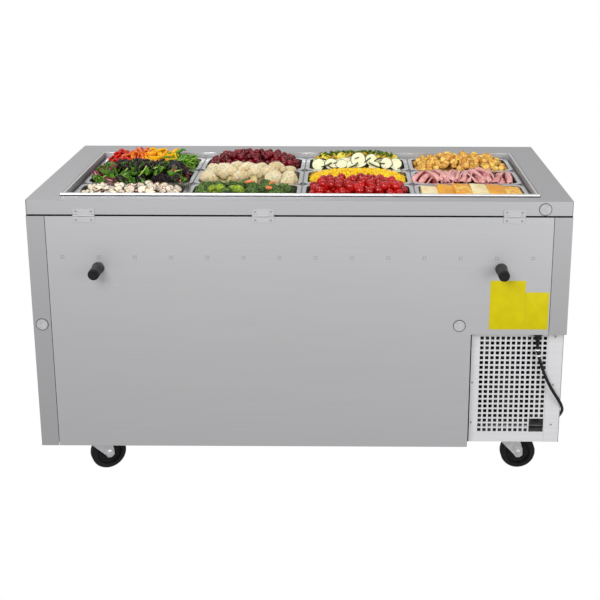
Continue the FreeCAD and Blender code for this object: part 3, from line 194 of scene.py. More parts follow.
def set_world():
    """White behind the object, and a soft grey studio for everything that it lights and reflects."""
    world = bpy.data.worlds.new("studio")
    bpy.context.scene.world = world
    world.use_nodes = True
    tree = world.node_tree
    tree.nodes.clear()
    link = tree.links.new
    output = tree.nodes.new("ShaderNodeOutputWorld")
    seen = tree.nodes.new("ShaderNodeBackground")
    seen.inputs["Color"].default_value = WHITE
    lit = tree.nodes.new("ShaderNodeBackground")
    lit.inputs["Strength"].default_value = STUDIO_STRENGTH
    path = tree.nodes.new("ShaderNodeLightPath")
    mix = tree.nodes.new("ShaderNodeMixShader")
    place = tree.nodes.new("ShaderNodeTexCoord")
    split = tree.nodes.new("ShaderNodeSeparateXYZ")
    ramp = tree.nodes.new("ShaderNodeValToRGB")
    height = tree.nodes.new("ShaderNodeMapRange")
    height.inputs["From Min"].default_value = -1
    link(place.outputs["Generated"], split.inputs[0])
    link(split.outputs["Z"], height.inputs["Value"])
    link(height.outputs["Result"], ramp.inputs["Fac"])
    stops = ramp.color_ramp.elements
    stops[0].position, stops[0].color = 0.0, STUDIO_FLOOR
    stops[1].position, stops[1].color = 1.0, WHITE
    for position, level in STUDIO_BANDS:
        stops.new(position).color = (level, level, level, 1)
    link(ramp.outputs["Color"], lit.inputs["Color"])
    link(path.outputs["Is Camera Ray"], mix.inputs["Fac"])
    link(lit.outputs[0], mix.inputs[1])
    link(seen.outputs[0], mix.inputs[2])
    link(mix.outputs[0], output.inputs["Surface"])


def add_light(name, place, aim, size, power):
    data = bpy.data.lights.new(name, "AREA")
    data.shape = "DISK"
    data.size = size
    data.energy = power
    light = bpy.data.objects.new(name, data)
    light.location = place
    light.rotation_euler = (Vector(aim) - Vector(place)).to_track_quat("-Z", "Y").to_euler()
    bpy.context.scene.collection.objects.link(light)


set_world()
for light_row in LIGHTS:
    add_light(*light_row)
bpy.context.scene.view_settings.view_transform = "Standard"


# ---- finishes ----

TONE_DETAIL, FINE_DETAIL = 4, 3
FLECK_EDGE = 0.06
COAT_ROUGHNESS = 0.12
FLESH_DEPTHS = (1, 0.6, 0.4)
RELIEF_DISTANCE = 0.001


def srgb(red, green, blue):
    """A screen colour, 0 to 255, as the linear one that shaders take."""
    shares = (red / 255, green / 255, blue / 255)
    return tuple(c / 12.92 if c <= 0.04 else ((c + 0.055) / 1.055) ** 2.4 for c in shares)


def noise_node(tree, place, scale, detail=FINE_DETAIL):
    made = tree.nodes.new("ShaderNodeTexNoise")
    made.inputs["Scale"].default_value = scale
    made.inputs["Detail"].default_value = detail
    tree.links.new(place, made.inputs["Vector"])
    return made


def mix_in(tree, under, over, factor):
    """Lays a flat colour over another by a factor, and gives the result."""
    blend = tree.nodes.new("ShaderNodeMix")
    blend.data_type = "RGBA"
    blend.inputs["B"].default_value = (*over, 1)
    tree.links.new(factor, blend.inputs["Factor"])
    tree.links.new(under, blend.inputs["A"])
    return blend.outputs["Result"]


def finish(name, dark, light, grain=(40, 40, 40), span=(0.32, 0.68), rough=(0.4, 0.5), metal=0.0, bump=0.0,
           bump_scale=300, coat=0.0, deep=0.0, gleam=0.5, tint=None, speck=None):
    """A surface whose tone, gloss and relief come from layered noise; tint is for what "shade" marks."""
    made = bpy.data.materials.new(name)
    made.use_nodes = True
    tree = made.node_tree
    base = tree.nodes["Principled BSDF"]
    link = tree.links.new
    place = tree.nodes.new("ShaderNodeTexCoord").outputs["Object"]
    mapping = tree.nodes.new("ShaderNodeMapping")
    mapping.inputs["Scale"].default_value = grain
    link(place, mapping.inputs["Vector"])
    cloud = noise_node(tree, mapping.outputs[0], 1, TONE_DETAIL)
    tone = tree.nodes.new("ShaderNodeValToRGB")
    for stop, position, colour in zip(tone.color_ramp.elements, span, (dark, light)):
        stop.position, stop.color = position, (*colour, 1)
    link(cloud.outputs["Fac"], tone.inputs["Fac"])
    colour = tone.outputs["Color"]
    if tint is not None:
        shade = tree.nodes.new("ShaderNodeAttribute")
        shade.attribute_name = "shade"
        colour = mix_in(tree, colour, tint, shade.outputs["Fac"])
    if speck is not None:
        fleck_colour, fleck_scale, level = speck
        fleck = noise_node(tree, place, fleck_scale)
        step = tree.nodes.new("ShaderNodeMapRange")
        step.inputs["From Min"].default_value = level
        step.inputs["From Max"].default_value = level + FLECK_EDGE
        link(fleck.outputs["Fac"], step.inputs["Value"])
        colour = mix_in(tree, colour, fleck_colour, step.outputs["Result"])
    link(colour, base.inputs["Base Color"])
    gloss = tree.nodes.new("ShaderNodeMapRange")
    gloss.inputs["To Min"].default_value, gloss.inputs["To Max"].default_value = rough
    link(cloud.outputs["Fac"], gloss.inputs["Value"])
    link(gloss.outputs["Result"], base.inputs["Roughness"])
    base.inputs["Metallic"].default_value = metal
    base.inputs["Specular IOR Level"].default_value = gleam
    base.inputs["Coat Weight"].default_value = coat
    base.inputs["Coat Roughness"].default_value = COAT_ROUGHNESS
    if deep:
        base.inputs["Subsurface Weight"].default_value = 1
        base.inputs["Subsurface Scale"].default_value = deep
        base.inputs["Subsurface Radius"].default_value = FLESH_DEPTHS
    if bump:
        relief = noise_node(tree, place, bump_scale)
        raised = tree.nodes.new("ShaderNodeBump")
        raised.inputs["Strength"].default_value = bump
        raised.inputs["Distance"].default_value = RELIEF_DISTANCE
        link(relief.outputs["Fac"], raised.inputs["Height"])
        link(raised.outputs[0], base.inputs["Normal"])
    return made


def grey(level, cool=0.01):
    return (level, level, level + cool)


def steel(dark, light, rough, grain=(3, 900, 900), metal=0.82):
    """Stainless sheet with its brush marks along X."""
    return {"dark": grey(dark), "light": grey(light), "rough": rough, "grain": grain, "metal": metal,
            "bump": 0.02, "bump_scale": 900}


def fine(side):
    return (side, side, side)


LOOKS = {
    "cabinet_steel": steel(0.465, 0.485, (0.45, 0.49)),
    # painted light: a lighter copy of the cabinet's steel for the rear panel, for the light that falls on it
    "lit_panel_steel": steel(0.550, 0.580, (0.45, 0.49)),
    "deck_steel": steel(0.470, 0.490, (0.51, 0.55)),
    # painted highlight: the lip's steel is lighter than the deck's, for the light its rounded top catches
    "lip_steel": steel(0.70, 0.78, (0.34, 0.42)),
    # painted light: the grille's steel is lighter and less metallic than the cabinet's, to light its shaded
    # recess
    "grille_steel": steel(0.61, 0.68, (0.40, 0.50), metal=0.3),
    "well_steel": steel(0.16, 0.24, (0.22, 0.32)),
    "pan_steel": steel(0.60, 0.74, (0.14, 0.22), (30, 30, 500), 0.92),
    "hinge_steel": steel(0.42, 0.48, (0.55, 0.65), metal=0.4),
    "screw_steel": steel(0.40, 0.55, (0.3, 0.4), fine(200)),
    "zinc": steel(0.62, 0.83, (0.22, 0.36), fine(60), 0.9),
    "coil_metal": steel(0.36, 0.52, (0.4, 0.5), (400, 30, 30), 0.7),
    "blade_metal": steel(0.50, 0.62, (0.35, 0.45), fine(60)),
    "copper": {"dark": (0.45, 0.20, 0.11), "light": (0.62, 0.30, 0.18), "rough": (0.3, 0.42), "metal": 0.9,
               "grain": fine(60), "bump": 0.05},
    "seal": {"dark": grey(0.002, 0), "light": grey(0.006, 0), "grain": fine(90), "rough": (0.7, 0.85),
             "bump": 0.1, "gleam": 0.1},
    "foam": {"dark": (0.66, 0.58, 0.38), "light": (0.80, 0.72, 0.52), "grain": fine(60),
             "rough": (0.8, 0.9), "bump": 0.5},
    # painted shadow: the bumper's steel post is near black, for the shadow at the bumper's foot
    "bumper_post": {"dark": grey(0.03, 0.001), "light": grey(0.07, 0.001), "grain": fine(90),
                    "rough": (0.4, 0.5), "bump": 0.05, "gleam": 0.3},
    "bumper_rubber": {"dark": grey(0.004, 0.001), "light": grey(0.010, 0.001), "grain": fine(90),
                      "rough": (0.5, 0.6), "bump": 0.15, "gleam": 0.2},
    "hole_plug": {"dark": grey(0.34), "light": grey(0.42), "grain": fine(90), "bump": 0.05},
    "black_enamel": {"dark": grey(0.012, 0.001), "light": grey(0.03, 0.002), "grain": fine(50),
                     "rough": (0.3, 0.4), "bump": 0.05},
    "drain_plastic": {"dark": (0.6, 0.6, 0.59), "light": (0.7, 0.7, 0.69), "grain": fine(60), "bump": 0.05},
    "black_plastic": {"dark": grey(0.016, 0.001), "light": grey(0.03, 0.002), "grain": fine(200),
                      "bump": 0.2, "bump_scale": 1500},
    "rocker_plastic": {"dark": (0.02, 0.16, 0.05), "light": (0.03, 0.24, 0.08), "grain": fine(60),
                       "rough": (0.15, 0.2), "coat": 0.5, "bump": 0.03},
    "wheel_tread": {"dark": grey(0.003, 0.001), "light": grey(0.009, 0.001), "grain": fine(120),
                    "rough": (0.5, 0.65), "bump": 0.2, "bump_scale": 700, "gleam": 0.2},
    "cord_jacket": {"dark": grey(0.003, 0.001), "light": grey(0.008, 0.001), "grain": fine(200),
                    "rough": (0.4, 0.55), "bump": 0.1, "bump_scale": 1200, "gleam": 0.25},
}
# sheets that the photo shows lighter than the rest of the cabinet
# painted light: both sheets take a lighter steel than the cabinet's, for the light that falls on them
OWN_FINISH = {"rear_panel": "lit_panel_steel", "corner_post": "grille_steel"}


def dress(obj, material):
    obj.data.materials.clear()
    obj.data.materials.append(material)


finishes = {name: finish(name, **look) for name, look in LOOKS.items()}
for part in frame["record"]["subparts"]:
    dress(nodes[part["node"]], finishes[OWN_FINISH.get(part["node"], part["material_slot"])])
dress(lead, finishes["cord_jacket"])


# ---- gathered pieces ----

SEED = 7
FOOD_HEADROOM = 0.028
CEILING = cad_box[1][2] + FOOD_HEADROOM
NOISE_SPAN, PHASE_SPAN = 9, 6
SLOPE_STEP = 0.01
# a slice's faces and its rounded edge, as shares of the thickness from its middle
SLICE_FACE, SLICE_EDGE = 0.5, 0.36
ROUND_CORNERS, ROUND_WOBBLE = 22, 0.04

chance = random.Random(SEED)


class Batch:
    """Many small pieces in one mesh, none above the ceiling; each corner has a shade from 0 to 1."""

    def __init__(self):
        self.points = []
        self.faces = []
        self.shades = []

    def add(self, piece, place, shade=0.0):
        points, faces, tints = piece
        first = len(self.points)
        placed = [place @ point for point in points]
        sunk = Vector((0, 0, max(0.0, max(point.z for point in placed) - CEILING)))
        self.points.extend(point - sunk for point in placed)
        self.faces.extend(tuple(first + corner for corner in face) for face in faces)
        self.shades.extend(min(1.0, max(0.0, tint + shade)) for tint in tints)

    def make(self, name, body, material):
        mesh = bpy.data.meshes.new(name)
        mesh.from_pydata(self.points, [], self.faces)
        mesh.attributes.new("shade", "FLOAT", "POINT").data.foreach_set("value", self.shades)
        mesh.polygons.foreach_set("use_smooth", [True] * len(mesh.polygons))
        mesh.update()
        obj = bpy.data.objects.new(name, mesh)
        bpy.context.scene.collection.objects.link(obj)
        dress(obj, material)
        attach(obj, body)


def spin(tilt):
    """A turn about Z and a lean of up to so much from level."""
    lean_x, lean_y = chance.uniform(-tilt, tilt), chance.uniform(-tilt, tilt)
    return Euler((lean_x, lean_y, chance.uniform(0, math.tau))).to_matrix()


def lean(forward, sway):
    """A turn in the piece's own plane, then a lean towards the service side and some sway."""
    tilt = Euler((chance.uniform(*forward), chance.uniform(-sway, sway), 0)).to_matrix()
    return tilt @ Matrix.Rotation(chance.uniform(0, math.tau), 3, "Z")


def at(place, turn=None):
    """A place, with a turn where one is given."""
    moved = Matrix.Translation(place)
    return moved @ turn.to_4x4() if turn is not None else moved


def noise_start():
    """A spot of its own in the noise, so that no two pieces look the same."""
    return Vector([chance.uniform(-NOISE_SPAN, NOISE_SPAN) for _ in range(3)])


def wave_start():
    return chance.uniform(0, PHASE_SPAN)


def ball(radius, lumps=0.0, detail=2, flat=1.0, roughness=60.0):
    """A lumpy ball; the lumps are a share of its radius."""
    sphere = bmesh.new()
    bmesh.ops.create_icosphere(sphere, subdivisions=detail, radius=1)
    sphere.verts.ensure_lookup_table()
    away = noise_start()
    points = []
    for vert in sphere.verts:
        swell = 1 + lumps * noise.noise(vert.co * radius * roughness + away)
        points.append(Vector((vert.co.x, vert.co.y, vert.co.z * flat)) * radius * swell)
    faces = [tuple(v.index for v in face.verts) for face in sphere.faces]
    sphere.free()
    return points, faces, [0.0] * len(points)


def sheet_piece(shape, across, along, thick, closed=False, tint=None):
    """A thin curved sheet: shape(u, v) is its middle surface, with u and v from 0 to 1."""
    fronts, backs, tints = [], [], []
    row = across if closed else across + 1
    for j in range(along + 1):
        for i in range(row):
            u, v = i / across, j / along
            here = shape(u, v)
            slope_u, slope_v = shape(u + SLOPE_STEP, v) - here, shape(u, v + SLOPE_STEP) - here
            out = slope_u.cross(slope_v).normalized() * (thick / 2)
            fronts.append(here + out)
            backs.append(here - out)
            tints.append(tint(u, v) if tint else 0.0)
    count = len(fronts)
    faces = []
    for j in range(along):
        for i in range(across):
            a, b = j * row + i, j * row + (i + 1) % row
            c, d = b + row, a + row
            faces.append((a, b, c, d))
            faces.append((count + d, count + c, count + b, count + a))
    rim = [(i, (i + 1) % row) for i in range(across)]
    rim += [((along * row) + (i + 1) % row, along * row + i) for i in range(across)]
    if not closed:
        rim += [((j + 1) * row, j * row) for j in range(along)]
        rim += [(j * row + across, (j + 1) * row + across) for j in range(along)]
    faces += [(b, a, count + a, count + b) for a, b in rim]
    return fronts + backs, faces, tints * 2


def cut_slice(outline, thick, rind=0.84, rind_tint=1.0):
    """A flat slice; its rind, outside a share of the outline, has its own shade."""
    middle = Vector((sum(x for x, _ in outline), sum(y for _, y in outline))) / len(outline)
    points, tints, faces = [], [], []
    count = len(outline)
    for side in (1, -1):
        for share, tint, lift in ((rind, 0.0, SLICE_FACE), (1.0, rind_tint, SLICE_EDGE)):
            for x, y in outline:
                spot = middle + (Vector((x, y)) - middle) * share
                points.append(Vector((spot.x, spot.y, side * thick * lift)))
                tints.append(tint)
        points.append(Vector((middle.x, middle.y, side * thick * SLICE_FACE)))
        tints.append(0.0)
    block = 2 * count + 1
    for side in range(2):
        first = side * block
        for n in range(count):
            m = (n + 1) % count
            fan = (first + 2 * count, first + n, first + m)
            ring = (first + n, first + count + n, first + count + m, first + m)
            faces += [fan, ring] if side == 0 else [fan[::-1], ring[::-1]]
    for n in range(count):
        m = (n + 1) % count
        faces.append((count + n, block + count + n, block + count + m, count + m))
    return points, faces, tints


def round_outline(radius):
    """A not quite round slice's edge."""
    turn = wave_start()
    return [(radius * (1 + ROUND_WOBBLE * math.sin(2 * a + turn)) * math.cos(a),
             radius * (1 + ROUND_WOBBLE * math.sin(3 * a + turn)) * math.sin(a))
            for a in (math.tau * n / ROUND_CORNERS for n in range(ROUND_CORNERS))]


# ---- pans and heaps ----

PAN_HALF = (0.1478, 0.0736)
HEAP_SHARPNESS = 5
HEAP_EDGE = 0.014
HEAP_SLOPE = 0.6
BED_RINGS, BED_CORNERS = 12, 72
BED_ROUGHNESS = 90
BED_CLEARANCE = 0.004


class Pan:
    """The space in one pan and the heap that stands in it, risen so far over the pan's rim."""

    def __init__(self, row, column, rise):
        low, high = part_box(f"pan_{row}_{column}")
        self.name = f"{row}_{column}"
        self.body = f"{row}_pan_{column}"
        self.middle = (low + high) / 2
        self.rim, self.floor = high.z, low.z
        self.rise = rise

    def share(self, x, y):
        power = HEAP_SHARPNESS
        return (abs(x / PAN_HALF[0]) ** power + abs(y / PAN_HALF[1]) ** power) ** (1 / power)

    def top(self, x, y):
        """The heap's height over the rim at a spot measured from the pan's middle."""
        inside = max(0.0, 1 - self.share(x, y) ** 2)
        return -HEAP_EDGE + (self.rise + HEAP_EDGE) * inside ** HEAP_SLOPE

    def spot(self, x, y, over=0.0):
        return Vector((self.middle.x + x, self.middle.y + y, self.rim + self.top(x, y) + over))

    def near_spot(self, x, behind, over):
        """A spot so far behind the pan's near wall and over its rim."""
        return Vector((self.middle.x + x, self.middle.y - PAN_HALF[1] + behind, self.rim + over))

    def spots(self, count, margin, x_span=(-1, 1), y_span=(-1, 1), tries=12):
        """Evenly strewn places, each the farthest from the others among a few tries."""
        half_x, half_y = PAN_HALF[0] - margin, PAN_HALF[1] - margin
        chosen = []
        for _ in range(count):
            trials = [(chance.uniform(*x_span) * half_x, chance.uniform(*y_span) * half_y)
                      for _ in range(tries)]
            best = max(trials, key=lambda t: min((math.dist(t, c) for c in chosen), default=1))
            chosen.append(best)
        return chosen

    def bed(self, material, lumps=0.004, sink=0.010):
        """The body of the heap under the loose pieces, in a darker colour: painted shade in the gaps between
        them.
        """
        power = 2 / HEAP_SHARPNESS
        points = [Vector((self.middle.x, self.middle.y, self.rim + self.rise - sink))]
        for ring in range(1, BED_RINGS + 1):
            out = ring / BED_RINGS
            for n in range(BED_CORNERS):
                angle = math.tau * n / BED_CORNERS
                c, s = math.cos(angle), math.sin(angle)
                x = math.copysign(abs(c) ** power, c) * PAN_HALF[0] * ring / BED_RINGS
                y = math.copysign(abs(s) ** power, s) * PAN_HALF[1] * ring / BED_RINGS
                level = self.rim + self.top(x, y) - sink * (1 - out ** 6)
                bump = noise.noise(Vector((x, y, self.middle.x)) * BED_ROUGHNESS) * lumps
                points.append(Vector((self.middle.x + x, self.middle.y + y, level + bump - lumps)))
        edge = points[-BED_CORNERS:]
        points += [Vector((p.x, p.y, self.floor + BED_CLEARANCE)) for p in edge]
        faces = [(0, 1 + n, 1 + (n + 1) % BED_CORNERS) for n in range(BED_CORNERS)]
        for ring in range(BED_RINGS):
            first = 1 + ring * BED_CORNERS
            for n in range(BED_CORNERS):
                a, b = first + n, first + (n + 1) % BED_CORNERS
                faces.append((a, a + BED_CORNERS, b + BED_CORNERS, b))
        faces.append(tuple(range(len(points) - 1, len(points) - BED_CORNERS - 1, -1)))
        mound = Batch()
        mound.add((points, faces, [0.0] * len(points)), AS_IT_IS)
        mound.make(f"bed_{self.name}", self.body, material)


def in_a_row(n, count, span):
    """The place of the nth of so many pieces that share a span evenly."""
    return -span / 2 + span * n / (count - 1)


def food(name, dark, light, **look):
    """A food's surface: its two tones, with a soft gloss unless the look says otherwise."""
    look.setdefault("rough", (0.3, 0.5))
    look.setdefault("bump", 0.15)
    look.setdefault("deep", 0.0015)
    look.setdefault("gleam", 0.3)
    return finish(name, srgb(*dark), srgb(*light), **look)


# ---- peppers ----

LOBE_DEPTH = 0.10
RING_STEPS, FEWEST_STEPS = 26, 8
# layer from the bottom up, count
PEPPER_LAYERS = ((0, 16), (1, 15), (2, 7))
# name, dark and light tones, where along the pan, share of whole rings, heights of the bands
PEPPERS = (("pepper_red", (178, 16, 8), (214, 40, 22), (-1.0, -0.40), 0.10, (0.009, 0.014)),
           ("pepper_orange", (214, 96, 6), (234, 134, 24), (-0.52, 0.02), 0.15, (0.008, 0.012)),
           ("pepper_yellow", (222, 156, 0), (240, 194, 12), (-0.02, 0.50), 0.9, (0.007, 0.010)),
           ("pepper_green", (66, 118, 12), (122, 172, 34), (0.48, 1.0), 0.45, (0.004, 0.007)))


def pepper_band(radius, height, wall, lobes, part):
    """A ring cut across a pepper, or a part of one: a wavy band."""
    squash = chance.uniform(0.7, 1.0)
    start = chance.uniform(0, math.tau)

    def shape(u, v):
        angle = start + math.tau * part * u
        reach = radius * (1 + LOBE_DEPTH * math.cos(lobes * angle))
        return Vector((reach * math.cos(angle), squash * reach * math.sin(angle), (v - 0.5) * height))

    return sheet_piece(shape, max(FEWEST_STEPS, int(RING_STEPS * part)), 2, wall, closed=part == 1)


def peppers(row, column):
    pan = Pan(row, column, rise=0.030)
    pan.bed(food("pepper_shade", (96, 30, 8), (140, 60, 12)))
    for name, dark, light, x_span, ring_share, heights in PEPPERS:
        batch = Batch()
        for layer, count in PEPPER_LAYERS:
            for x, y in pan.spots(count, margin=0.020, x_span=x_span):
                part = 1 if chance.random() < ring_share else chance.uniform(0.3, 0.6)
                radius = chance.uniform(0.015, 0.023)
                piece = pepper_band(radius, chance.uniform(*heights), wall=0.0042, lobes=3, part=part)
                tilt = 0.5 if part == 1 else 1.1
                batch.add(piece, at(pan.spot(x, y, over=-0.006 + 0.006 * layer), spin(tilt)))
        batch.make(name, pan.body, food(name, dark, light, grain=fine(60), coat=0.15, rough=(0.2, 0.35)))


# ---- leaves ----

LEAF_THICK, LEAF_GRID = 0.0008, (10, 14)
# where on a half wave a leaf starts, how much of it the leaf takes, and how full it is
LEAF_START, LEAF_REACH, LEAF_FULLNESS = 0.12, 0.84, 0.7
RIB_NARROWNESS, RIB_END = 7, 0.8
# name, dark, light and rib tones, count, where along and across the pan, length
LEAVES = (("leaf_dark", (16, 8, 14), (50, 34, 40), (60, 74, 44), 50, (-0.5, 0.95), (-0.5, 1), 0.045),
          ("leaf_green", (30, 78, 10), (96, 148, 34), (170, 200, 100), 34, (-1, 1), (-1, 0.1), 0.036),
          ("leaf_back", (34, 82, 12), (88, 140, 30), (170, 200, 100), 10, (-1, -0.2), (0.2, 1), 0.036),
          ("leaf_red", (104, 16, 48), (156, 56, 92), (236, 214, 222), 9, (-1, -0.6), (-0.6, 1), 0.036),
          ("leaf_rose", (112, 20, 34), (166, 66, 70), (238, 218, 218), 4, (0.8, 1), (-1, 0), 0.034))


def leaf(length, wide, curl, ruffle):
    """A ruffled salad leaf with a pale rib along its middle."""
    phase = wave_start()
    folds = chance.choice((3, 4, 5))

    def shape(u, v):
        side = 2 * u - 1
        half = wide / 2 * math.sin(math.pi * (LEAF_START + LEAF_REACH * v)) ** LEAF_FULLNESS
        wave = ruffle * abs(side) ** 2 * math.sin(folds * math.pi * v * 2 + phase + side)
        cup = curl * (side * side * half * 2 + (v - 0.5) ** 2 * length)
        return Vector((side * half, (v - 0.5) * length, cup + wave))

    def tint(u, v):
        return max(0.0, 1 - abs(2 * u - 1) * RIB_NARROWNESS) if v < RIB_END else 0.0

    return sheet_piece(shape, *LEAF_GRID, LEAF_THICK, tint=tint)


def salad_leaves(row, column):
    """A heap of leaves, with a third as many again leaning against the near wall."""
    pan = Pan(row, column, rise=0.026)
    pan.bed(food("leaf_shade", (10, 14, 6), (26, 44, 12)), sink=0.006)
    for name, dark, light, rib, count, x_span, y_span, length in LEAVES:
        batch = Batch()
        for x, y in pan.spots(count, margin=0.014, x_span=x_span, y_span=y_span):
            piece = leaf(length * chance.uniform(0.8, 1.2), length * chance.uniform(0.5, 0.8),
                         curl=chance.uniform(0.3, 0.9), ruffle=0.004)
            batch.add(piece, at(pan.spot(x, y, over=chance.uniform(-0.002, 0.007)), spin(0.9)))
        for _ in range(count // 3):
            x = chance.uniform(*x_span) * (PAN_HALF[0] - 0.016)
            place = pan.near_spot(x, chance.uniform(0.010, 0.022), chance.uniform(-0.006, 0.006))
            piece = leaf(0.8 * length, 0.5 * length, curl=chance.uniform(0.2, 0.6), ruffle=0.003)
            batch.add(piece, at(place, lean((0.5, 1.2), 0.5)))
        batch.make(name, pan.body, food(name, dark, light, tint=srgb(*rib), grain=fine(70), coat=0.1,
                                        bump=0.3))
    stalks = Batch()
    for x, y in pan.spots(9, margin=0.022):
        stalk = pepper_band(0.026, 0.003, wall=0.0028, lobes=1, part=0.28)
        stalks.add(stalk, at(pan.spot(x, y, over=0.006), spin(0.8)))
    stalks.make("leaf_stalks", pan.body, food("leaf_stalk", (150, 180, 70), (206, 220, 140)))


# ---- mushrooms ----

# layer from the bottom up, count
MUSHROOM_LAYERS = ((0, 50), (1, 26))
# the outline of a slice in millimetres: over the cap and round the stem
MUSHROOM = [(-17, -1), (-16, 5), (-12, 10), (-6, 13), (0, 14), (6, 13), (12, 10), (16, 5), (17, -1), (13, -5),
            (6, -4), (4.5, -9), (4, -14), (0, -15), (-4, -14), (-4.5, -9), (-6, -4), (-13, -5)]


def mushrooms(row, column):
    pan = Pan(row, column, rise=0.012)
    pan.bed(food("mushroom_shade", (24, 8, 2), (66, 30, 14)))
    batch = Batch()
    for layer, count in MUSHROOM_LAYERS:
        for x, y in pan.spots(count, margin=0.016):
            size = chance.uniform(0.75, 1.1) / 1000
            outline = [(u * size, v * size) for u, v in MUSHROOM]
            piece = cut_slice(outline, thick=0.0036, rind=0.76)
            batch.add(piece, at(pan.spot(x, y, over=-0.005 + 0.006 * layer), lean((-0.2, 1.1), 0.6)),
                      chance.uniform(-0.3, 0.3))
    batch.make("mushroom_slices", pan.body,
               food("mushroom", (222, 206, 178), (250, 242, 226), tint=srgb(98, 42, 18), grain=fine(160)))


# ---- beets, tomatoes ----

# height over the heap as a share of the radius, count, share of the pan that the layer covers
BEET_LAYERS = ((-0.2, 60, 1.0), (0.7, 54, 0.96), (1.3, 20, 0.7))
TOMATO_LAYERS = ((-0.3, 46, 1.0), (0.4, 44, 0.98), (1.0, 22, 0.8))
ROUND_FLATNESS = 0.94


def round_heap(name, pan, radius, layers, lumps, material):
    batch = Batch()
    for over, count, spread in layers:
        for x, y in pan.spots(count, radius + 0.001, (-spread, spread), (-spread, spread)):
            piece = ball(radius * chance.uniform(0.86, 1.1), lumps, 3, ROUND_FLATNESS)
            batch.add(piece, at(pan.spot(x, y, over * radius), spin(3)), chance.uniform(0, 0.8))
    batch.make(name, pan.body, material)


def beets(row, column):
    pan = Pan(row, column, rise=0.024)
    pan.bed(food("beet_shade", (52, 2, 12), (84, 6, 22)))
    material = food("beet", (108, 4, 18), (146, 14, 32), tint=srgb(80, 2, 14), grain=fine(60), coat=0.2,
                    rough=(0.25, 0.4))
    round_heap("beet_balls", pan, 0.0105, BEET_LAYERS, 0.10, material)


def tomatoes(row, column):
    pan = Pan(row, column, rise=0.026)
    pan.bed(food("tomato_shade", (84, 6, 4), (120, 12, 8)))
    material = food("tomato", (172, 6, 4), (206, 20, 10), tint=srgb(140, 2, 4), grain=fine(40), coat=0.25,
                    rough=(0.18, 0.28), bump=0.03)
    round_heap("cherry_tomatoes", pan, 0.0130, TOMATO_LAYERS, 0.05, material)


# ---- cauliflower and broccoli ----

GOLDEN_ANGLE = 2.399963
# a head's lowest knob, its height and its knobs' distance from the middle, as shares of its radius
HEAD_REACH_DOWN, HEAD_HEIGHT, KNOB_DISTANCE = 1.05, 0.8, 0.72
KNOB_SIZES, KNOB_FLATNESS, KNOB_ROUGHNESS = (0.36, 0.46), 0.9, 260
STEM_SIZE, STEM_LENGTH = 0.5, 1.9
# along and across the pan, radius
YOUNG_HEADS = ((-0.088, -0.030, 0.013), (-0.066, -0.034, 0.014), (-0.014, -0.046, 0.017),
               (-0.030, -0.040, 0.013))
# along and across the pan, turn in its plane
CARROTS = ((0.012, 0.026, 0.5), (0.076, 0.022, 1.1), (0.069, -0.034, -0.5))


def floret(batch, stems, place, radius, knobs, turn, buds, detail=2):
    """A dome of knobs on a short thick stem."""
    head = Matrix.Translation(place) @ turn.to_4x4()
    for n in range(knobs):
        height = 1 - (n + 0.5) / knobs * HEAD_REACH_DOWN
        reach = math.sqrt(max(0.0, 1 - height * height))
        angle = n * GOLDEN_ANGLE
        spot = Vector((reach * math.cos(angle), reach * math.sin(angle), height * HEAD_HEIGHT))
        knob = ball(radius * chance.uniform(*KNOB_SIZES), buds, detail, KNOB_FLATNESS, KNOB_ROUGHNESS)
        # the lower knobs take more of the tint: painted shade under the head's dome, with some tone at random
        batch.add(knob, head @ Matrix.Translation(spot * radius * KNOB_DISTANCE),
                  0.45 * (1 - height) + chance.uniform(0, 0.25))
    stalk = ball(radius * STEM_SIZE, lumps=0.1, detail=2, flat=STEM_LENGTH)
    stems.add(stalk, head @ Matrix.Translation((0, 0, -radius * STEM_SIZE)))


def cauliflower(row, column):
    pan = Pan(row, column, rise=0.022)
    pan.bed(food("curd_shade", (150, 136, 96), (196, 182, 140)))
    heads, stems = Batch(), Batch()
    for x, y in pan.spots(19, margin=0.024, tries=60):
        radius = chance.uniform(0.023, 0.030)
        spot = pan.spot(x, y, over=chance.uniform(-0.010, 0.002))
        floret(heads, stems, spot, radius, knobs=22, turn=spin(0.7), buds=0.22, detail=3)
    # the curd's tint is the painted shade that floret lays on the lower knobs
    heads.make("cauliflower_heads", pan.body,
               food("curd", (214, 200, 164), (238, 228, 200), tint=srgb(176, 150, 96), grain=fine(120),
                    rough=(0.6, 0.8), bump=0.5, bump_scale=900, gleam=0.1))
    stems.make("cauliflower_stems", pan.body, food("curd_stem", (196, 184, 128), (222, 214, 170)))


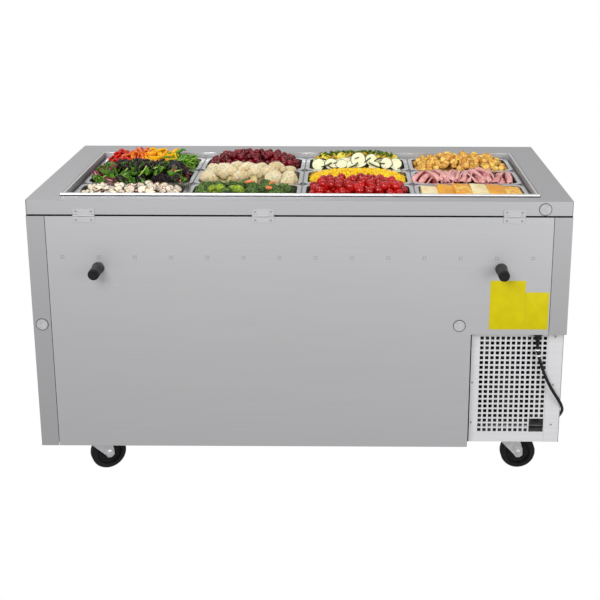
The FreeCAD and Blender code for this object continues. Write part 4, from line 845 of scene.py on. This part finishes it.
def broccoli(row, column):
    pan = Pan(row, column, rise=0.012)
    pan.bed(food("broccoli_shade", (6, 16, 4), (16, 34, 8)), sink=0.014)
    heads, stems, pale = Batch(), Batch(), Batch()
    for x, y in pan.spots(15, margin=0.024, tries=80):
        radius = chance.uniform(0.021, 0.029)
        spot = pan.spot(x, y, over=chance.uniform(-0.012, -0.002))
        floret(heads, stems, spot, radius, knobs=30, turn=spin(0.8), buds=0.5)
    for x, y, radius in YOUNG_HEADS:
        floret(pale, stems, pan.spot(x, y, over=0.008), radius, knobs=26, turn=spin(0.8), buds=0.5)
    # both tints are the painted shade that floret lays on the lower knobs
    heads.make("broccoli_heads", pan.body,
               food("broccoli", (22, 50, 12), (118, 154, 66), tint=srgb(4, 14, 4), grain=fine(260),
                    span=(0.42, 0.62), rough=(0.6, 0.8), bump=0.9, bump_scale=700))
    pale.make("broccoli_young", pan.body,
              food("broccoli_pale", (116, 144, 26), (184, 200, 66), tint=srgb(70, 100, 20), grain=fine(200),
                   rough=(0.6, 0.8), bump=0.9, bump_scale=700))
    stems.make("broccoli_stems", pan.body, food("broccoli_stem", (132, 164, 60), (176, 198, 104)))
    carrots = Batch()
    for x, y, turn in CARROTS:
        stick = ball(0.0052, lumps=0.12, detail=3)
        lie = Matrix.Rotation(turn, 3, "Z") @ Matrix.Diagonal((3.2, 1, 1))
        carrots.add(stick, at(pan.spot(x, y, over=0.012), lie))
    carrots.make("carrot_sticks", pan.body, food("carrot", (206, 104, 48), (232, 150, 98), grain=fine(90)))


# ---- squash ----

# slices along the near wall: along the pan, behind the wall, over its rim, radius, lean and sway
FRONT_SLICES = ((-0.014, 0.028, 0.004, 0.021, 0.75, 0.1), (-0.121, 0.028, 0.008, 0.021, 0.85, -0.2),
                (-0.080, 0.030, 0.009, 0.0215, 0.80, 0.1), (-0.046, 0.026, 0.008, 0.019, 0.90, 0.4),
                (0.054, 0.026, 0.004, 0.018, 0.75, -0.1), (0.004, 0.040, 0.022, 0.025, 0.90, -0.1),
                (0.046, 0.040, 0.020, 0.021, 0.95, 0.5), (0.092, 0.032, 0.012, 0.020, 0.95, -0.6),
                (0.120, 0.030, 0.010, 0.021, 0.85, -0.3))


def courgettes(row, column):
    pan = Pan(row, column, rise=0.020)
    pan.bed(food("squash_shade", (58, 62, 16), (110, 112, 34)))
    slices = Batch()
    for x, behind, over, radius, forward, sway in FRONT_SLICES:
        piece = cut_slice(round_outline(radius), thick=0.006, rind=0.86)
        slices.add(piece, at(pan.near_spot(x, behind, over), Euler((forward, sway, 0)).to_matrix()))
    for x, y in pan.spots(34, margin=0.022):
        piece = cut_slice(round_outline(chance.uniform(0.017, 0.020)), thick=0.005, rind=0.88)
        slices.add(piece, at(pan.spot(x, y, over=-0.001), spin(0.7)))
    slices.make("courgette_slices", pan.body,
                food("courgette", (224, 220, 178), (244, 240, 214), tint=srgb(8, 22, 4), grain=fine(140),
                     speck=(srgb(206, 200, 142), 500, 0.62)))
    yellow = Batch()
    for x, y in pan.spots(30, margin=0.020, x_span=(-0.95, 0.95), y_span=(0.0, 1.0)):
        piece = cut_slice(round_outline(0.015), thick=0.004, rind=0.86)
        yellow.add(piece, at(pan.spot(x, y, over=0.007), spin(0.9)))
    yellow.make("squash_slices", pan.body,
                food("squash", (206, 190, 60), (232, 218, 104), tint=srgb(206, 166, 8), grain=fine(140)))
    herbs = Batch()
    for x, y in pan.spots(64, margin=0.020, x_span=(-0.9, 0.9), y_span=(0.1, 1.0)):
        spot = pan.spot(x, y, over=chance.uniform(0.010, 0.018))
        herbs.add(leaf(0.018, 0.008, curl=0.6, ruffle=0.0015), at(spot, spin(1.2)))
    herbs.make("herb_sprigs", pan.body,
               food("herb", (34, 72, 8), (96, 130, 26), tint=srgb(130, 156, 44), bump=0.3))


# ---- corn ----

KERNEL_SHAPES, KERNEL_COUNT = 5, 900


def corn(row, column):
    pan = Pan(row, column, rise=0.024)
    pan.bed(food("corn_shade", (136, 98, 0), (172, 132, 0)), lumps=0.003, sink=0.006)
    kernels = Batch()
    shapes = [ball(0.0044, lumps=0.25, detail=2, flat=0.8, roughness=120) for _ in range(KERNEL_SHAPES)]
    for n, (x, y) in enumerate(pan.spots(KERNEL_COUNT, margin=0.006, tries=4)):
        spot = pan.spot(x, y, over=chance.uniform(-0.004, -0.001))
        kernels.add(shapes[n % KERNEL_SHAPES], at(spot, spin(3)), chance.uniform(0, 0.7))
    kernels.make("corn_kernels", pan.body,
                 food("corn", (230, 190, 0), (246, 216, 2), tint=srgb(212, 164, 0), coat=0.1))


# ---- croutons ----

# height over the heap, count, share of the pan that the layer covers
CROUTON_LAYERS = ((-0.004, 44, 1.0), (0.004, 34, 0.95), (0.011, 12, 0.7))
CROUTON_SOFTNESS = 0.22


def bread_cube(side):
    """A worn and lumpy cube, darker along its edges."""
    cube = bmesh.new()
    bmesh.ops.create_cube(cube, size=1)
    bmesh.ops.subdivide_edges(cube, edges=cube.edges[:], cuts=4, use_grid_fill=True)
    away = noise_start()
    points, tints = [], []
    for vert in cube.verts:
        far_out = sorted(abs(c) * 2 for c in vert.co)
        soft = 1 - CROUTON_SOFTNESS * max(0, far_out[1] - 0.5) - CROUTON_SOFTNESS * max(0, far_out[0] - 0.5)
        points.append(vert.co * side * soft * (1 + CROUTON_SOFTNESS * noise.noise(vert.co * 4 + away)))
        tints.append(0.75 if far_out[1] > 0.9 else 0.1)
    faces = [tuple(v.index for v in face.verts) for face in cube.faces]
    cube.free()
    return points, faces, tints


def croutons(row, column):
    pan = Pan(row, column, rise=0.018)
    pan.bed(food("bread_shade", (96, 56, 14), (140, 88, 30)))
    cubes = Batch()
    for over, count, spread in CROUTON_LAYERS:
        for x, y in pan.spots(count, 0.013, (-spread, spread), (-spread, spread)):
            size = chance.uniform(0.016, 0.023)
            cubes.add(bread_cube(size), at(pan.spot(x, y, over), spin(3)), chance.uniform(-0.2, 0.15))
    cubes.make("crouton_cubes", pan.body,
               food("crouton", (222, 166, 62), (250, 220, 130), tint=srgb(150, 80, 14), grain=fine(160),
                    rough=(0.6, 0.8), bump=0.6, bump_scale=700))


# ---- ham ----

HAM_SLICES, HAM_SPAN = 9, 0.232
HAM_LENGTH, HAM_THICK, HAM_GRID = 0.112, 0.0012, (34, 14)
# how the folds sway from end to end, how much flatter they end and how far the ends droop
HAM_SWAY, HAM_FLATTER, HAM_DROOP = 0.004, 0.35, 0.010


def ham_fold(wide, height, folds):
    """A thin slice gathered into standing folds across the pan."""
    phase = wave_start()

    def swing(u, v):
        return math.sin(folds * math.tau * u + phase + 0.8 * math.sin(3 * v + phase))

    def shape(u, v):
        side = (v - 0.5) * 2
        x = (u - 0.5) * wide + HAM_SWAY * math.sin(2 * folds * math.tau * u + side)
        z = height * swing(u, v) * (1 - HAM_FLATTER * side * side) - HAM_DROOP * side ** 4
        return Vector((x, side * HAM_LENGTH / 2, z))

    # the tint falls in the troughs of the folds: painted shade in the creases
    def tint(u, v):
        return max(0.0, 0.1 - swing(u, v))

    return sheet_piece(shape, *HAM_GRID, HAM_THICK, tint=tint)


def ham(row, column):
    pan = Pan(row, column, rise=0.004)
    pan.bed(food("ham_shade", (120, 40, 38), (160, 72, 66)))
    slices = Batch()
    for n in range(HAM_SLICES):
        x = in_a_row(n, HAM_SLICES, HAM_SPAN)
        turn = Euler((0, chance.uniform(-0.25, 0.25), chance.uniform(-0.45, 0.45))).to_matrix()
        piece = ham_fold(chance.uniform(0.040, 0.054), chance.uniform(0.007, 0.011), chance.choice((1, 2, 2)))
        spot = pan.spot(x, 0, over=0.006 + 0.003 * (n % 2))
        slices.add(piece, at(spot, turn), chance.uniform(-0.05, 0.15))
    # the deep red tint is the painted shade in the troughs of the folds
    slices.make("ham_slices", pan.body,
                food("ham", (206, 134, 132), (230, 178, 174), tint=srgb(132, 28, 28), grain=fine(70),
                     coat=0.1, bump=0.25, speck=(srgb(240, 212, 204), 160, 0.62)))


# ---- cheese ----

CHEESE_STACKS, CHEESE_SPAN, CHEESE_LAYERS = 6, 0.236, 7
CHEESE_HALF, CHEESE_THICK, CHEESE_STEP = (0.0245, 0.058), 0.0030, 0.0031
# name, dark and light tones, grain
CHEESES = (("cheese_pale", (226, 208, 152), (238, 222, 172), 20),
           ("cheese_orange", (220, 146, 4), (232, 164, 10), 20),
           ("cheese_marbled", (222, 148, 8), (238, 200, 96), 70))


def square_outline(half_u, half_v, soft=0.004):
    """A rectangle with its corners cut off."""
    corners = []
    for u, v in ((1, 1), (-1, 1), (-1, -1), (1, -1)):
        offsets = ((0, -soft), (-soft, 0)) if u * v > 0 else ((-soft, 0), (0, -soft))
        corners += [((half_u + du) * u, (half_v + dv) * v) for du, dv in offsets]
    return corners


def cheese(row, column):
    pan = Pan(row, column, rise=0.002)
    pan.bed(food("cheese_shade", (150, 104, 30), (190, 140, 50)))
    batches = [Batch() for _ in CHEESES]
    for n in range(CHEESE_STACKS):
        x = in_a_row(n, CHEESE_STACKS, CHEESE_SPAN)
        for level in range(CHEESE_LAYERS):
            piece = cut_slice(square_outline(*CHEESE_HALF), CHEESE_THICK, rind=0.9, rind_tint=0.3)
            shift = Vector((chance.uniform(-0.0015, 0.0015), chance.uniform(-0.002, 0.002),
                            -CHEESE_STEP * level))
            turn = Euler((0, 0.06 + 0.02 * (n % 2), chance.uniform(-0.03, 0.03))).to_matrix()
            batches[n % len(CHEESES)].add(piece, at(pan.spot(x, 0, over=0.007) + shift, turn))
    for batch, (name, dark, light, grain) in zip(batches, CHEESES):
        batch.make(name + "_slices", pan.body,
                   food(name, dark, light, grain=fine(grain), span=(0.46, 0.56), tint=srgb(236, 176, 60),
                        bump=0.08, rough=(0.35, 0.5)))


for serve, row, column in ((mushrooms, "near", 1), (salad_leaves, "middle", 1), (peppers, "far", 1),
                           (broccoli, "near", 2), (cauliflower, "middle", 2), (beets, "far", 2),
                           (tomatoes, "near", 3), (corn, "middle", 3), (courgettes, "far", 3),
                           (cheese, "near", 4), (ham, "middle", 4), (croutons, "far", 4)):
    serve(row, column)


# ---- small details on the service side ----

DOT_FIRST_X, DOT_STEP, DOT_COLUMNS, DOT_LEVEL = -0.655, 0.1, 14, 0.676
DOT_GAP, DOT_RADIUS, DOT_CORNERS, DOT_THICK, DOT_PROUD = 0.0032, 0.0011, 12, 0.0012, 0.0004
# low and high X, low and high Z
PATCHES = ((0.530, 0.6285, 0.467, 0.611), (0.6287, 0.6945, 0.467, 0.577))
PATCH_THICK = 0.0006
BAND_CORNERS = 28
RING_GAP, RING_WIDTH, RING_HEIGHT, RING_PROUD = 0.0001, 0.0015, 0.0016, 0.0006
BEAD_RADIUS, BEAD_SKIN = 0.0016, 0.0004
# the painted shadow strip down the grille's edge: width, thickness, inset
EDGE_SHADOW_WIDTH, EDGE_SHADOW_THICK, EDGE_SHADOW_INSET = 0.0030, 0.0004, 0.0012
# along X, behind the near face, above the floor
TIE_PLACES = ((0.6725, 0.0176, 0.399), (0.6765, 0.0166, 0.382))
TIE_GAP, TIE_WIDTH, TIE_HEIGHT = 0.0002, 0.0016, 0.004


def facing_out(x, z, proud):
    """A spot on the service side, its Z turned out of the sheet."""
    return at((x, near_face - proud, z), UPRIGHT)


def loop_band(inner, width, height):
    """A flat band round the Z axis."""
    middle = inner + width / 2

    def shape(u, v):
        return Vector((middle * math.cos(math.tau * u), middle * math.sin(math.tau * u), (v - 0.5) * height))

    return sheet_piece(shape, BAND_CORNERS, 2, width, closed=True)


def rivet_dots():
    """Groups of four small rivet heads along the service side."""
    angles = [math.tau * n / DOT_CORNERS for n in range(DOT_CORNERS)]
    outline = [(DOT_RADIUS * math.cos(angle), DOT_RADIUS * math.sin(angle)) for angle in angles]
    head = cut_slice(outline, DOT_THICK, rind=0.8, rind_tint=0.0)
    dots = Batch()
    for column in range(DOT_COLUMNS):
        for side, level in ((-1, -1), (1, -1), (-1, 1), (1, 1)):
            x = DOT_FIRST_X + DOT_STEP * column + side * DOT_GAP
            dots.add(head, facing_out(x, DOT_LEVEL + level * DOT_GAP, DOT_PROUD))
    dots.make("rivet_dots", "cabinet",
              finish("rivet_dots", grey(0.05), grey(0.09), grain=fine(300), rough=(0.4, 0.5), metal=0.4))


def blank_patches():
    """Two plain yellow patches over the machine compartment; they carry no words."""
    patches = Batch()
    for low_x, high_x, low_z, high_z in PATCHES:
        outline = square_outline((high_x - low_x) / 2, (high_z - low_z) / 2, soft=0.002)
        patches.add(cut_slice(outline, PATCH_THICK, rind=0.995, rind_tint=0.0),
                    facing_out((low_x + high_x) / 2, (low_z + high_z) / 2, proud=PATCH_THICK / 2))
    patches.make("blank_patches", "cabinet",
                 finish("patch_yellow", srgb(184, 170, 0), srgb(192, 178, 0), grain=fine(30),
                        rough=(0.4, 0.5), bump=0.03, gleam=0.2))


def plug_rings():
    """The dark joint round each snap-in plug."""
    low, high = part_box("body_plugs")
    level = (low.z + high.z) / 2
    radius = (high.z - low.z) / 2
    lid_low, lid_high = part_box("deck_plug")
    lid = (lid_low + lid_high) / 2
    dark = finish("joint_shadow", grey(0.010), grey(0.022), grain=fine(60), rough=(0.6, 0.7), gleam=0.2)
    on_body = ((low.x + radius, level), (high.x - radius, level))
    for name, body, spots in (("body_plug_rings", "cabinet", on_body),
                              ("deck_plug_ring", "deck", ((lid.x, lid.z),))):
        rings = Batch()
        for x, z in spots:
            rings.add(loop_band(radius + RING_GAP, RING_WIDTH, RING_HEIGHT), facing_out(x, z, RING_PROUD))
        rings.make(name, body, dark)


def bead_run(start, end):
    """A straight length of bead along the foot of one side of the lip."""
    run = end - start
    side = Vector((run.y, -run.x, 0)).normalized() * BEAD_RADIUS
    up = Vector((0, 0, BEAD_RADIUS))

    def shape(u, v):
        around = math.pi * (v - 0.25)
        return start + run * u + side * math.cos(around) + up * math.sin(around)

    return sheet_piece(shape, 2, 8, BEAD_SKIN)


def lip_shadow_line():
    """A dark bead along the foot of the deck's raised lip: painted shadow where the lip meets the deck."""
    low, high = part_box("deck_lip")
    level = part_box("deck_top")[1].z + BEAD_RADIUS / 2
    corners = [Vector((x, y, level)) for x, y in
               ((low.x, low.y), (high.x, low.y), (high.x, high.y), (low.x, high.y))]
    bead = Batch()
    for n, start in enumerate(corners):
        bead.add(bead_run(start, corners[(n + 1) % len(corners)]), AS_IT_IS)
    bead.make("lip_shadow_line", "deck",
              finish("lip_painted_shadow", grey(0.02), grey(0.04), grain=fine(60), rough=(0.5, 0.6), gleam=0.3))


def grille_edge_shadow():
    """A near-black strip down the grille's edge by the wall of its recess: painted shadow."""
    low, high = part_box("rear_grille")
    outline = [(0, low.z), (EDGE_SHADOW_WIDTH, low.z), (EDGE_SHADOW_WIDTH, high.z), (0, high.z)]
    # the strip is painted shadow where the recess wall shades the grille's edge
    joint = Batch()
    joint.add(cut_slice(outline, EDGE_SHADOW_THICK, rind=0.9, rind_tint=0.0),
              at((low.x + EDGE_SHADOW_INSET, low.y - EDGE_SHADOW_THICK / 2, 0), UPRIGHT))
    joint.make("grille_edge_shadow", "cabinet", finishes["seal"])


def cord_ties():
    """Two white ties round the cord where it leaves the relief."""
    ties = Batch()
    for x, y, z in TIE_PLACES:
        ties.add(loop_band(CORD_RADIUS + TIE_GAP, TIE_WIDTH, TIE_HEIGHT), at((x, near_face + y, z)))
    white = finish("tie_white", grey(0.75, 0), grey(0.85, 0), rough=(0.4, 0.5))
    ties.make("cord_ties", "cabinet", white)


rivet_dots()
blank_patches()
plug_rings()
lip_shadow_line()
grille_edge_shadow()
cord_ties()
